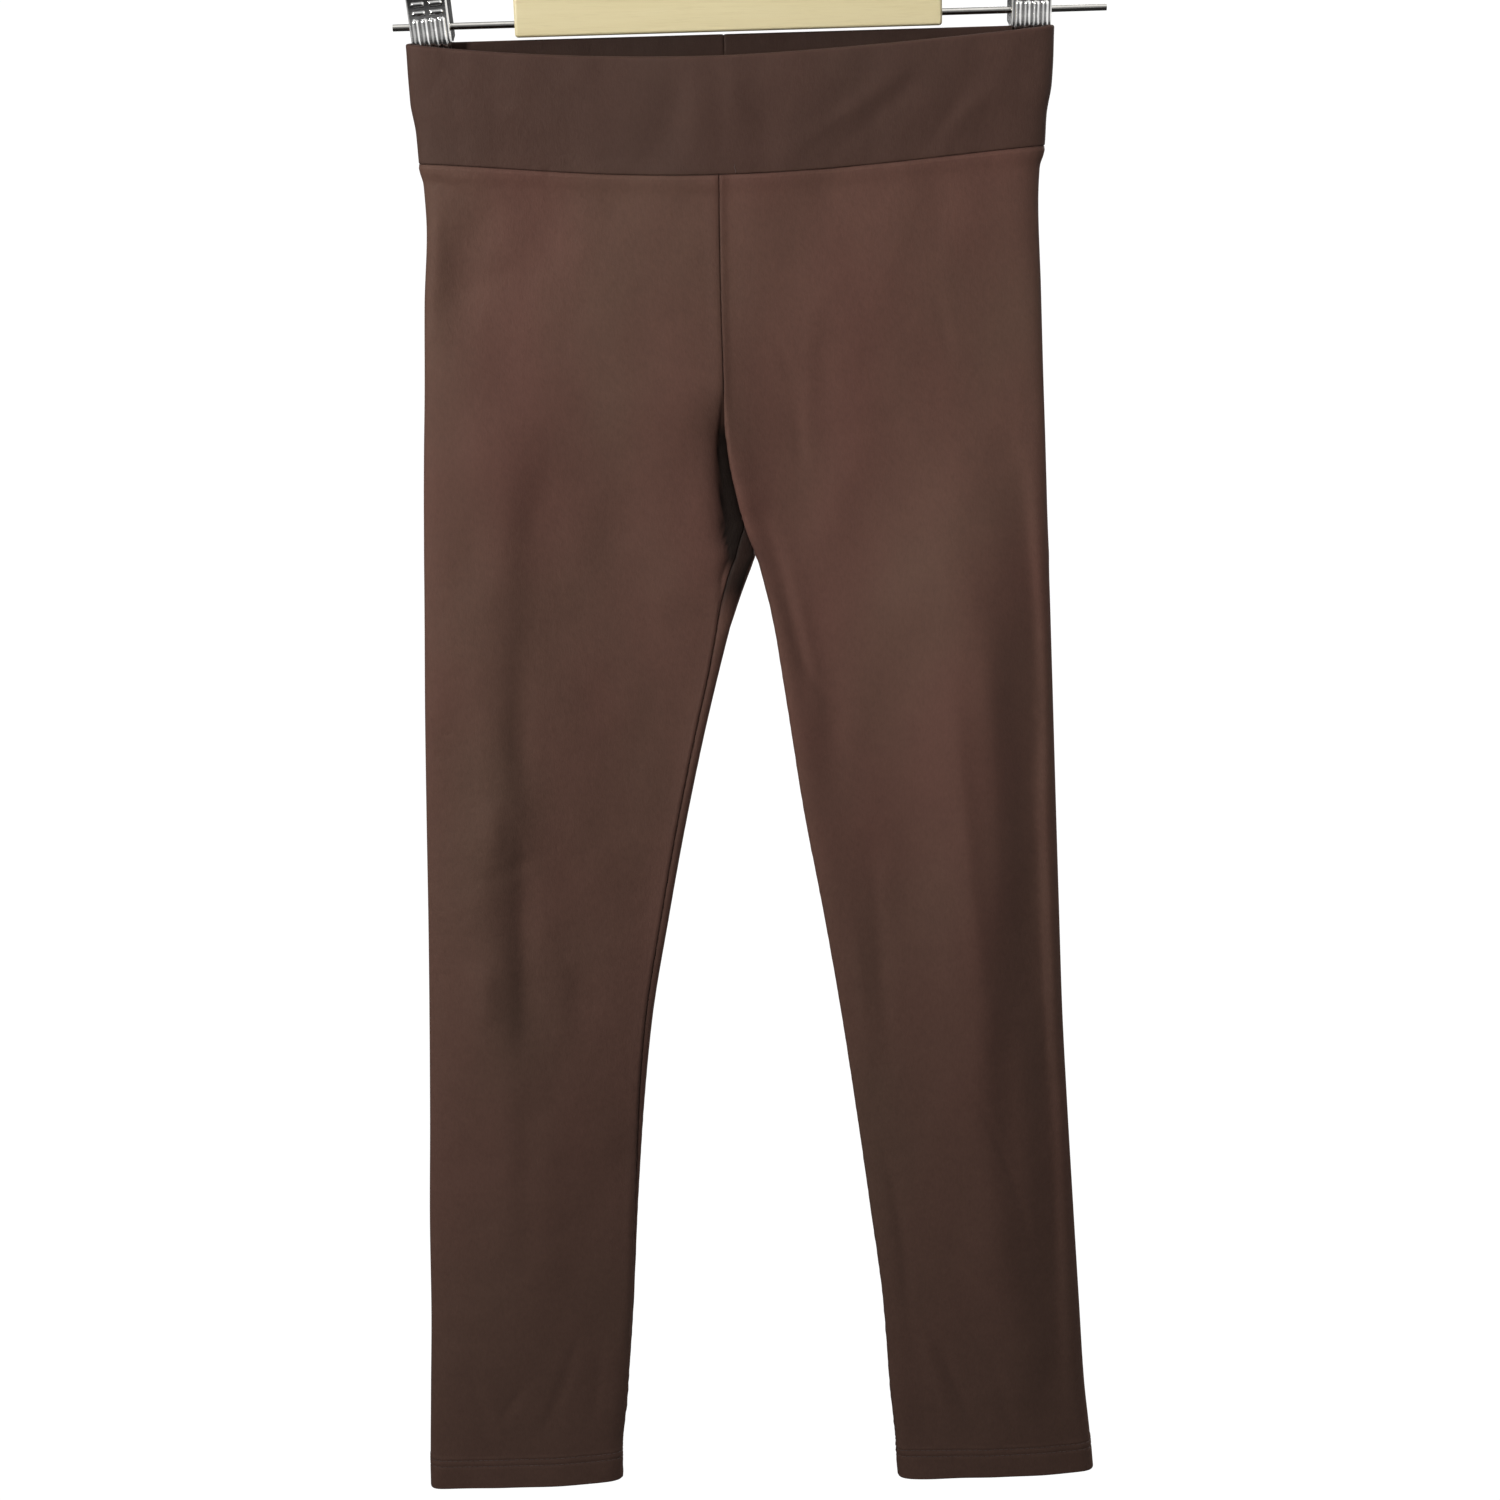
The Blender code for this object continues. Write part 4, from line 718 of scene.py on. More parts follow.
def make_leg(leg):
    drops = leg_drops(leg)
    g = leg_grid(leg, drops, 78, lambda t: np.minimum(seam_spacing(t), 2.3))
    # the outer fold needs close columns too
    g = leg_grid(
        leg,
        drops,
        78,
        lambda t: np.minimum(seam_spacing(t), 0.55 + 0.09 * np.abs(t[-1] - t)),
    )
    g = fold_grid(leg, g)
    p = np.stack([g["x"], g["y"], g["z"]], axis=2)
    flip = leg == "left"
    n = grid_normals(p, flip)
    if n[200, 40, 1] > 0:  # the front faces -Y
        n = -n
    hem = HEM_DROP[leg]
    d = np.broadcast_to(drops[:, None], g["x"].shape)
    tf, tb, tt = g["from_front"], g["from_back"], d - SEAM_DROP
    above = d < FORK_DROP

    lift = np.zeros_like(d)
    # the cloth stands over the pressed-down allowance of the waist seam
    lift += ALLOWANCE_LIFT * smooth_step(tt, 0.6, 2.2) * (1 - smooth_step(tt, ALLOWANCE - 2, ALLOWANCE + 3))
    # centre seams and inseam: the allowance lies towards the right leg
    side = 0.24 if leg == "right" else 0.0
    for t in (tf, tb):
        lift += side * smooth_step(t, 0.6, 2.0) * (1 - smooth_step(t, 4.0, 7.5))
    if leg == "left":  # beside the centre-front seam the left panel falls off, then recovers slowly
        dip = smooth_step(tf, 0.7, 4.4) * (1 - smooth_step(tf, 4.4, 19.0))
        lift -= 0.75 * dip * (1 - smooth_step(d, 330, 385)) * g["face"].clip(0, 1)
    if leg == "right":  # below the crotch the front panel's edge stands over the strip inside it
        below = smooth_step(d, 424, 446)
        lift += 0.34 * np.exp(-(((tf - 1.4) / 1.0) ** 2)) * below - 0.40 * np.exp(-tb / 1.8) * below
    # small puckers along the seams
    pucker = 0.10 * waves(3 if leg == "right" else 4, 7.0, d, d * 0)
    lift += pucker * np.exp(-tf / 3.0) + pucker[::-1] * np.exp(-tb / 3.0)
    lift += 0.09 * waves(8, 8.0, g["x"], d * 0) * np.exp(-tt / 3.5)
    # hem: two layers stand a little proud, the stitch rows draw in
    from_hem = hem - d
    lift += 0.30 * (1 - smooth_step(from_hem, HEM_DEPTH - 0.8, HEM_DEPTH + 1.6))
    for row in STITCH_ROWS:
        lift -= 0.34 * np.exp(-(((from_hem - row) / 0.95) ** 2))
    hem_pucker = waves(15 if leg == "right" else 16, 6.0, g["x"] + 3.0 * np.sign(g["y"]), d * 0)
    lift += 0.10 * hem_pucker * np.exp(-(((from_hem - 19.0) / 5.5) ** 2))
    # edges roll in to the seams
    roll = groove(tf, GROOVE, SEAM_ROLL) + groove(tb, GROOVE, SEAM_ROLL) + groove(tt, GROOVE, SEAM_ROLL)
    lift -= roll

    outer = p + n * lift[:, :, None]
    if leg == "left":
        # the left leg's front edge stands proud of the cleft and laps over it
        proud = smooth_step(d, 322, 352) * (1 - smooth_step(d, 390, 416))
        near = np.exp(-((np.maximum(tf - 1.5, 0) / 9.0) ** 2))
        outer[:, :, 1] -= 1.6 * proud * near * g["face"].clip(0, 1)
        lapped = smooth_step(d, 322, 352) * (1 - 0.5 * smooth_step(d, 366, 398)) * (1 - smooth_step(d, 419, 426))
        outer[:, :, 0] -= 1.3 * lapped * np.exp(-((tf / 4.5) ** 2)) * g["face"].clip(0, 1)
        # its edge turns back to meet the right leg's deeper edge
        right = leg_grid("right", drops, 78, lambda t: np.minimum(seam_spacing(t), 0.55 + 0.09 * np.abs(t[-1] - t)))
        step = np.maximum(right["y"][:, :1] - outer[:, :1, 1], 0.0) * above
        k = np.clip(1 - tf / 2.4, 0.0, 1.0)
        outer[:, :, 1] += step * (1 - np.sqrt(np.clip(1 - k**2, 0.0, 1.0))) * g["face"].clip(0, 1)

    # inner face, and the fold at the hem
    wall = LEG_WALL + (HEM_WALL - LEG_WALL) * smooth_step(d, hem - HEM_DEPTH - 0.4, hem - HEM_DEPTH + 0.2)
    wall = wall + 0.3 * np.exp(-tf / 1.5) + 0.3 * np.exp(-tb / 1.5)
    inner = p - n * wall[:, :, None]
    if leg == "left":
        inner[:, :, 1] += (step * (1 - np.sqrt(np.clip(1 - k**2, 0.0, 1.0))) * g["face"].clip(0, 1)) * 0.9
    inner[:, :, 2] = np.where(tt < 3, outer[:, :, 2], inner[:, :, 2])
    n_last = n[-1].copy()
    n_last[:, 2] = 0
    n_last /= np.linalg.norm(n_last, axis=1)[:, None]
    mid = p[-1] - n_last * (HEM_WALL / 2)
    radius = HEM_WALL / 2 + lift[-1][:, None]
    cap = []
    for angle in np.radians([18, 36, 54, 72, 90, 108, 126, 144, 162]):
        r = np.where(angle < np.pi / 2, radius, HEM_WALL / 2)
        row = mid + n_last * r * math.cos(angle)
        row[:, 2] = p[-1][:, 2] - (HEM_WALL / 2) * math.sin(angle)
        cap.append(row)
    inner[-1] = mid - n_last * (HEM_WALL / 2)
    inner[-1][:, 2] = p[-1][:, 2]
    keep = list(range(len(drops) - 1, 0, -3))
    near_rows = [i for i in range(len(drops)) if abs(drops[i] - (hem - HEM_DEPTH)) < 1.2]
    keep = sorted(set(keep) | set(near_rows) | {0, len(drops) - 1}, reverse=True)
    # painted shade: a thin darker line along each seam edge
    dark = 0.45 * (np.exp(-tf / 0.4) + np.exp(-tb / 0.4) + np.exp(-tt / 0.35))
    # painted shading by slope: lighter where the knit turns to the left, darker where it turns to the right
    dark = dark + painted_slope_shading(n)
    front = g["face"].clip(0, 1)
    if leg == "right":
        # painted shade deep in the cleft between the legs
        shelf = table_value(CLEFT, CLEFT_COLUMNS, "shelf", drops)[:, None]
        deep = 1.05 * smooth_step(d, 328, 358) * (1 - smooth_step(d, 418, 434))
        front_t = tf + g["turn"]
        in_cleft = (1 - smooth_step(front_t, shelf * 0.86, shelf + 2.6)) * front
        dark = dark + deep * in_cleft
        # painted shadow on the narrow strip between the inseam and the leg's inner outline
        turned = g["turn"]
        under = smooth_step(d, 394, 404) * (1 - smooth_step(d, 432, 456))
        dark = dark + 0.88 * under * (1 - smooth_step(tb, turned * 0.9, turned + 1.0)) * smooth_step(g["face"], -0.4, 0.2)
    else:
        # painted shade on the front edge just below the fork
        under = smooth_step(d, 404, 418) * (1 - smooth_step(d, 425, 500))
        dark = dark + 0.5 * under * np.exp(-((tf / 5.0) ** 2)) * front
    extra = {
        "shade": np.clip(dark, -0.2, 1),
        "cloth_u": g["from_front"] * MM,
        "cloth_v": d * MM,
    }
    obj = wrapped_shell("leggings_leg_" + leg, outer, np.array(cap), inner[keep], keep, extra, 0.35)
    return obj, outer, n, drops


def make_band():
    spacing_rows = lambda t: np.minimum(1.7, np.minimum(0.16 + 0.25 * t, 0.3 + 0.2 * np.abs(t[-1] - t)))
    top = WAIST_DROP + BAND_WALL / 2
    bottom = SEAM_DROP - VISIBLE_GAP / 2
    drops = bottom - packed(bottom - top, 42, spacing_rows)  # from the seam up
    drops = drops[::-1]
    grids = {
        leg: fold_grid(
            "band",
            leg_grid(leg, drops, 84, lambda t: np.minimum(np.minimum(2.1, 0.3 + 0.3 * t), 0.5 + 0.1 * np.abs(t[-1] - t))),
        )
        for leg in ("right", "left")
    }
    r, l = grids["right"], grids["left"]
    parts = {}
    for name in r:
        middle = (r[name][:, :1] + l[name][:, :1]) / 2
        parts[name] = np.concatenate([r[name][:, ::-1][:, :-1], middle, l[name][:, 1:]], axis=1)
    p = np.stack([parts["x"], parts["y"], parts["z"]], axis=2)
    n = grid_normals(p, False)
    if n[20, p.shape[1] // 2, 1] > 0:
        n = -n
    d = np.broadcast_to(drops[:, None], parts["x"].shape)
    cols = d.shape[1]
    side_r = np.concatenate([r["from_back"][:, ::-1][:, :-1], np.full((len(drops), cols - r["x"].shape[1] + 1), 1e3)], axis=1)
    side_l = np.concatenate([np.full((len(drops), cols - l["x"].shape[1] + 1), 1e3), l["from_back"][:, 1:]], axis=1)
    to_seam = SEAM_DROP - d
    to_cb = np.minimum(side_r, side_l)
    lift = -groove(to_seam, GROOVE, SEAM_ROLL) - groove(to_cb, 0.6, 1.3)
    lift += 0.07 * waves(21, 8.0, parts["x"], d * 0) * np.exp(-to_seam / 3.0)
    # the folded top edge is a little fuller than the band below it
    lift += 0.12 * np.exp(-(((d - WAIST_DROP) / 4.0) ** 2))
    outer = p + n * lift[:, :, None]
    inner = p - n * (BAND_WALL - 0.5 * groove(to_cb, 0.8, 1.3) - 0.25 * np.exp(-(to_seam / 1.5) ** 2))[:, :, None]
    inner[:, :, 2] = p[:, :, 2]
    n_top = n[0].copy()
    n_top[:, 2] = 0
    n_top /= np.linalg.norm(n_top, axis=1)[:, None]
    for face in (outer, inner):  # the two ends meet at the centre back
        meet = (face[:, 0] + face[:, -1]) / 2
        face[:, 0] = meet
        face[:, -1] = meet
    n_top[0] = n_top[-1] = (n_top[0] + n_top[-1]) / 2
    mid = (outer[0] + inner[0]) / 2
    radius = np.linalg.norm(outer[0] - inner[0], axis=1)[:, None] / 2
    cap = []
    for angle in np.radians([18, 36, 54, 72, 90, 108, 126, 144, 162]):
        row = mid + n_top * radius * math.cos(angle)
        row[:, 2] = mid[:, 2] + radius[:, 0] * math.sin(angle)
        cap.append(row)
    # rows run from the seam up, over the fold and down inside
    outer_up, inner_up, d_up = outer[::-1], inner[::-1], d[::-1]
    count = len(drops)
    keep = list(range(count - 1, 0, -2))
    keep = sorted(set(keep) | {0, count - 1}, reverse=True)
    # painted shade along the waist seam and the centre-back seam
    dark = 0.45 * np.exp(-to_seam / 0.35) + 0.6 * np.exp(-to_cb / 0.6)
    # painted shading by slope, and a painted highlight along the folded top edge
    dark = dark + painted_slope_shading(n) - 0.22 * np.exp(-(((d - WAIST_DROP) / 1.3) ** 2))
    extra = {
        "shade": np.clip(dark, -0.3, 1)[::-1],
        "cloth_u": np.cumsum(np.concatenate([np.zeros((count, 1)), np.linalg.norm(np.diff(p, axis=1), axis=2)], axis=1), axis=1)[::-1] * MM,
        "cloth_v": d_up * MM,
    }
    obj = wrapped_shell("leggings_waistband", outer_up, np.array(cap), inner_up[keep], keep, extra, 0.55)
    return obj, outer, n, drops


def row_path(outer, n, row):
    """Cumulative length along one row of a finished grid."""
    p = outer[row]
    length = np.concatenate([[0.0], np.cumsum(np.linalg.norm(np.diff(p, axis=0), axis=1))])

    def place(t, out):
        q = np.array([np.interp(t, length, p[:, k]) for k in range(3)])
        m = np.array([np.interp(t, length, n[row][:, k]) for k in range(3)])
        return q + m / np.linalg.norm(m) * out

    return length[-1], place


def make_stitches(leg, outer, n, drops):
    """Two rows of machine stitches round the hem."""
    paths = []
    hem = HEM_DROP[leg]
    rng = np.random.default_rng(5 if leg == "right" else 6)
    for which, above in enumerate(STITCH_ROWS):
        row = int(np.abs(drops - (hem - above)).argmin())
        total, place = row_path(outer, n, row)
        count = int((total - 2.0) / STITCH_PITCH)
        pitch = (total - 2.0) / count
        for k in range(count):
            start = 1.0 + k * pitch + which * 0.4 + rng.uniform(-0.12, 0.12)
            path = []
            for u, out in ((0.0, -0.30), (0.10, 0.05), (0.3, 0.16), (0.5, 0.19), (0.7, 0.16), (0.9, 0.05), (1.0, -0.30)):
                q = place(min(start + u * STITCH_LENGTH, total), out)
                q[2] += rng.uniform(-0.03, 0.03)
                path.append(q)
            paths.append(path)
    return tubes("leggings_hem_stitches_" + leg, paths, THREAD / 2, 6)


def make_cover_thread(leg, outer, n, drops):
    """The zigzag thread on the inside of the hem, over its raw edge."""
    hem = HEM_DROP[leg]
    rows = [int(np.abs(drops - (hem - above)).argmin()) for above in STITCH_ROWS]
    total, place_a = row_path(outer, n, rows[0])
    other, place_b = row_path(outer, n, rows[1])
    count = int(total / 1.5)
    path = []
    for k in range(count + 1):
        t = 0.8 + (min(total, other) - 1.6) * k / count
        place = place_a if k % 2 else place_b
        path.append(place(t, -HEM_WALL + 0.05))
    return tubes("leggings_hem_cover_" + leg, [path], 0.22, 5)


def make_thread_end(band_outer, band_n, drops):
    """One loose end of sewing thread at the waist seam."""
    row = len(drops) - 2
    near = np.abs(band_outer[row][:, 0] - 1.6) + np.where(band_outer[row][:, 1] < -5, 0, 1e3)
    p = band_outer[row][int(near.argmin())]
    n = band_n[row][int(near.argmin())]
    path = [p + n * (0.1 - 0.5 * (k == 0)) * 1.0 + np.array([0.30 * math.sin(k * 0.9), -0.30 * k**0.5, 0.62 * k]) for k in range(8)]
    return tubes("leggings_thread_end", [path], 0.19, 6)


# --------------------------------------------------------------------- hanger
def make_bar():
    """The wooden bar: straight below, gently arched above, all edges eased."""
    half, bottom = BODY_HALF * MM, -BODY_BOTTOM * MM
    outline = [(-half, bottom), (half, bottom)]
    for k in range(61):
        x = half * (1 - 2 * k / 60)
        rise = BODY_END + (BODY_MIDDLE - BODY_END) * math.cos(math.pi * x / (2 * half)) ** 1.4
        outline.append((x, bottom + rise * MM))
    bm = bmesh.new()
    face = bm.faces.new([bm.verts.new((x, -BODY_THICK * MM / 2, z)) for x, z in outline])
    made = bmesh.ops.extrude_face_region(bm, geom=[face])
    moved = [v for v in made["geom"] if isinstance(v, bmesh.types.BMVert)]
    bmesh.ops.translate(bm, verts=moved, vec=(0, BODY_THICK * MM, 0))
    bmesh.ops.recalc_face_normals(bm, faces=bm.faces)
    mesh = bpy.data.meshes.new("hanger_bar")
    bm.to_mesh(mesh)
    bm.free()
    obj = link(bpy.data.objects.new("hanger_bar", mesh))
    edge = obj.modifiers.new("edges", "BEVEL")
    edge.width = 1.7 * MM
    edge.segments = 5
    edge.limit_method = "ANGLE"
    edge.angle_limit = math.radians(50)
    for name, radius, length, place, turn in (
        ("bore_rod", ROD_DIAMETER / 2 + 0.35, 3 * BODY_HALF, (0, 0, -ROD_DROP), math.pi / 2),
        ("bore_hook", HOOK_WIRE / 2 + 0.2, 2 * HOOK_SET, (0, 0, -(BODY_BOTTOM - BODY_MIDDLE)), 0.0),
    ):
        bm = bmesh.new()
        bmesh.ops.create_cone(bm, cap_ends=True, segments=48, radius1=radius * MM, radius2=radius * MM, depth=length * MM)
        tool_mesh = bpy.data.meshes.new(name)
        bm.to_mesh(tool_mesh)
        bm.free()
        tool = link(bpy.data.objects.new(name, tool_mesh))
        tool.location = [c * MM for c in place]
        tool.rotation_euler = (0, turn, 0)
        bpy.context.view_layer.update()
        cut = obj.modifiers.new(name, "BOOLEAN")
        cut.operation = "DIFFERENCE"
        cut.solver = "EXACT"
        cut.object = tool
    bpy.context.view_layer.update()
    graph = bpy.context.evaluated_depsgraph_get()
    final = bpy.data.meshes.new_from_object(obj.evaluated_get(graph))
    obj.modifiers.clear()
    obj.data = final
    for name in ("bore_rod", "bore_hook"):
        bpy.data.objects.remove(bpy.data.objects[name], do_unlink=True)
    final.shade_smooth()
    final.set_sharp_from_angle(angle=math.radians(32))
    return obj


def swept(name, path, radius, sides=28, domed=True):
    """A round wire along a path, its ends domed."""
    path = np.asarray(path, float)
    tangent = np.gradient(path, axis=0)
    tangent /= np.linalg.norm(tangent, axis=1)[:, None]
    helper = np.array([0.0, 1.0, 0.0]) if abs(tangent[0, 1]) < 0.9 else np.array([1.0, 0.0, 0.0])
    rings, u = [], np.cross(tangent[0], helper)
    frames = []
    for p, t in zip(path, tangent):
        u = u - t * (u @ t)
        u /= np.linalg.norm(u)
        frames.append((p, t, u.copy(), np.cross(t, u)))
    caps = np.radians([75, 55, 35, 17]) if domed else []
    depth = 0.45  # how far a dome stands, of the radius
    p, t, a, b = frames[0]
    for ang in caps:
        rings.append((p - t * radius * depth * math.sin(ang) + t * radius * depth, a, b, radius * math.cos(ang)))
    for k, (p, t, a, b) in enumerate(frames):
        if domed and k == 0:
            p = p + t * radius * depth
        if domed and k == len(frames) - 1:
            p = p - t * radius * depth
        rings.append((p, a, b, radius))
    p, t, a, b = frames[-1]
    for ang in caps[::-1] if domed else []:
        rings.append((p + t * radius * depth * math.sin(ang) - t * radius * depth, a, b, radius * math.cos(ang)))
    angles = np.linspace(0, 2 * np.pi, sides, endpoint=False)
    points = [c + r * (math.cos(q) * a + math.sin(q) * b) for c, a, b, r in rings for q in angles]
    faces = []
    for k in range(len(rings) - 1):
        for i in range(sides):
            j = (i + 1) % sides
            faces.append((k * sides + i, k * sides + j, (k + 1) * sides + j, (k + 1) * sides + i))
    faces.append(tuple(reversed(range(sides))))
    faces.append(tuple((len(rings) - 1) * sides + i for i in range(sides)))
    obj = mesh_object(name, points, faces, sharp=60)
    face_out(obj)
    return obj


def make_hook():
    r = HOOK_RADIUS
    centre = HOOK_WIRE / 2 - r
    bottom = -(BODY_BOTTOM - BODY_MIDDLE) - HOOK_SET
    points = [(0.0, 0.0, z) for z in np.linspace(bottom, -62.0, 16)]
    join = math.radians(-32)
    end_x, end_z = r * math.cos(join), centre + r * math.sin(join)
    ctrl = [(0.0, -62.0), (0.0, -50.0), (end_x - 11 * math.sin(-join), end_z - 11 * math.cos(join)), (end_x, end_z)]
    for k in range(1, 24):
        t = k / 24
        b = [(1 - t) ** 3, 3 * t * (1 - t) ** 2, 3 * t * t * (1 - t), t**3]
        points.append((sum(w * c[0] for w, c in zip(b, ctrl)), 0.0, sum(w * c[1] for w, c in zip(b, ctrl))))
    for k in range(72):
        a = join + (math.radians(208) - join) * k / 71
        points.append((r * math.cos(a), 0.0, centre + r * math.sin(a)))
    return swept("hanger_wire_hook", points, HOOK_WIRE / 2)


def make_rod():
    xs = np.concatenate([[ROD_LEFT, ROD_LEFT + 0.6], np.linspace(ROD_LEFT + 4, ROD_RIGHT - 4, 60), [ROD_RIGHT - 0.6, ROD_RIGHT]])
    return swept("hanger_steel_rod", [(x, 0.0, -ROD_DROP) for x in xs], ROD_DIAMETER / 2, 36, domed=False)


def stand_off(drop):
    return table_value(JAW, JAW_COLUMNS, "stand_off", drop)


def place_on_rod(points, rod_x, lean):
    """From a jaw's own frame (x across, y, z above the rod) to the row frame."""
    a = -math.radians(lean)
    c, s = math.cos(a), math.sin(a)
    x, y, z = points[..., 0], points[..., 1], points[..., 2]
    return np.stack([rod_x + c * x + s * z, y, -ROD_DROP - s * x + c * z], axis=-1)


def pill(x, z, cx, top, bottom, half_width):
    """1 on the crest of a round-ended rib and 0 at its foot."""
    dz = np.maximum(np.maximum(z - (top - half_width), (bottom + half_width) - z), 0.0)
    far = np.hypot((x - cx), dz) / half_width
    return np.sqrt(np.clip(1 - far**2, 0.0, 1.0))


def make_jaw(name, rod_x, lean, front_jaw):
    """A pressed steel jaw: an embossed face and two flanges that the rod passes."""
    half = CLIP_PLATE / 2 - (0 if front_jaw else CLIP_INSET)
    flange_back = CLIP_FLANGE_BACK - PINCH_MID if front_jaw else CLIP_FLANGE_BACK - PINCH_MID + 1.0
    splay = CLIP_SPLAY if front_jaw else 0.0
    sign = -1 if front_jaw else 1
    drops = np.concatenate(
        [
            np.linspace(122.0, 126.0, 7),
            np.linspace(126.5, 154.5, 100)[1:] if front_jaw else np.linspace(126.5, 154.5, 30)[1:],
            [155.0, 155.3, 155.8, 156.4],
            np.linspace(157.0, 176.5, 54 if front_jaw else 16),
        ]
    )
    front = stand_off(drops)
    # the flanges grow out of the face with rounded shoulders
    grow = smooth_step(drops, FLANGE_TOP - 1.5, FLANGE_TOP + 3.0) * (1 - smooth_step(drops, FLANGE_BOTTOM - 3.5, FLANGE_BOTTOM + 1.2))
    rear = (front - 1.0) * (1 - grow) - flange_back * grow
    if front_jaw:  # inside the band they go on, as deep as the room there
        grow = smooth_step(drops, FLANGE_TOP - 1.5, FLANGE_TOP + 3.0) * (1 - smooth_step(drops, FLANGE_BOTTOM, FLANGE_BOTTOM + 2.0))
        inside = 1 - smooth_step(drops, 164.0, 171.0)
        rear = -flange_back * grow + (1 - grow) * (2.0 * inside + (front - 1.0) * (1 - inside))
    edge = half - JAW_TAPER * np.clip((drops - WAIST_DROP) / 15.0, 0.0, 1.0)
    reach = np.clip((front - rear) / (front + flange_back), 0.0, 1.0)
    bend = 0.9  # radius of the fold between the face and a flange
    face_x = np.linspace(-1.0, 1.0, 75 if front_jaw else 25)
    rows = []
    for k, drop in enumerate(drops):
        e, f, r = edge[k], front[k], rear[k]
        lean_out = splay * reach[k]
        pts = []
        for t in np.linspace(0.0, 1.0, 9)[:-1]:  # up the flange to the fold
            y = r + (f - bend - r) * t
            pts.append((-(e + lean_out * (1 - t)), y))
        for a in np.radians([15, 35, 55, 75]):
            pts.append((-(e - bend + bend * math.cos(a)), f - bend + bend * math.sin(a)))
        flat = e - bend
        for u in face_x:
            x = u * flat
            up = 0.0
            if front_jaw:
                for i in range(RIBS):
                    cx = (i - (RIBS - 1) / 2) * RIB_PITCH
                    up = max(up, RIB_HEIGHT * float(pill(x, -drop, cx, -RIBS_TOP, -174.0, RIB_WIDTH / 2)))
                for d in DASH_ROWS:
                    for s in (-1, 1):
                        across = max(abs(x - s * DASH_SIDE) - (DASH_LENGTH - DASH_WIDTH) / 2, 0.0)
                        far = math.hypot(across, drop - d) / (DASH_WIDTH / 2)
                        up = max(up, DASH_HEIGHT * math.sqrt(max(0.0, 1 - far**2)))
            pts.append((x, f + up))
        for a in np.radians([75, 55, 35, 15]):
            pts.append(((e - bend + bend * math.cos(a)), f - bend + bend * math.sin(a)))
        for t in np.linspace(1.0, 0.0, 9)[1:]:
            y = r + (f - bend - r) * t
            pts.append(((e + lean_out * (1 - t)), y))
        rows.append(pts)
    grid = np.array(rows)
    n_rows, n_cols = grid.shape[:2]
    x, off = grid[:, :, 0], grid[:, :, 1]
    outer = np.stack([x, PINCH_MID + sign * off, np.broadcast_to((ROD_DROP - drops)[:, None], x.shape)], axis=2)
    n = grid_normals(outer, False)
    if n[5, n_cols // 2, 1] * sign < 0:
        n = -n
    # the inner face doesn't follow the embossing
    plain = outer.copy()
    plain[:, :, 1] = PINCH_MID + sign * np.minimum(off, front[:, None])
    n_plain = grid_normals(plain, False)
    if n_plain[5, n_cols // 2, 1] * sign < 0:
        n_plain = -n_plain
    n_plain[:, :, 2] *= 0.0
    n_plain /= np.linalg.norm(n_plain, axis=2, keepdims=True)
    inner = plain - n_plain * CLIP_WALL
    both = np.concatenate([outer.reshape(-1, 3), inner.reshape(-1, 3)])
    shift = n_rows * n_cols
    faces = []

    def at(r, c, side=0):
        return side * shift + r * n_cols + c

    for r in range(n_rows - 1):
        for c in range(n_cols - 1):
            faces.append((at(r, c), at(r, c + 1), at(r + 1, c + 1), at(r + 1, c)))
            faces.append((at(r, c, 1), at(r + 1, c, 1), at(r + 1, c + 1, 1), at(r, c + 1, 1)))
    for c in range(n_cols - 1):
        faces.append((at(0, c), at(0, c, 1), at(0, c + 1, 1), at(0, c + 1)))
        faces.append((at(n_rows - 1, c), at(n_rows - 1, c + 1), at(n_rows - 1, c + 1, 1), at(n_rows - 1, c, 1)))
    for r in range(n_rows - 1):
        faces.append((at(r, 0), at(r + 1, 0), at(r + 1, 0, 1), at(r, 0, 1)))
        faces.append((at(r, n_cols - 1), at(r, n_cols - 1, 1), at(r + 1, n_cols - 1, 1), at(r + 1, n_cols - 1)))
    obj = mesh_object(name, place_on_rod(both, rod_x, lean), faces, sharp=50)
    face_out(obj)
    # holes for the rod
    bm = bmesh.new()
    radius = (ROD_DIAMETER / 2 + 0.3) * MM
    bmesh.ops.create_cone(bm, cap_ends=True, segments=40, radius1=radius, radius2=radius, depth=40 * MM)
    tool_mesh = bpy.data.meshes.new("bore")
    bm.to_mesh(tool_mesh)
    bm.free()
    tool = link(bpy.data.objects.new("bore", tool_mesh))
    tool.location = (rod_x * MM, 0, -ROD_DROP * MM)
    tool.rotation_euler = (0, math.pi / 2, 0)
    cut = obj.modifiers.new("bore", "BOOLEAN")
    cut.operation, cut.solver, cut.object = "DIFFERENCE", "EXACT", tool
    bpy.context.view_layer.update()
    final = bpy.data.meshes.new_from_object(obj.evaluated_get(bpy.context.evaluated_depsgraph_get()))
    obj.modifiers.clear()
    obj.data = final
    bpy.data.objects.remove(tool, do_unlink=True)
    final.shade_smooth()
    final.set_sharp_from_angle(angle=math.radians(38))
    return obj


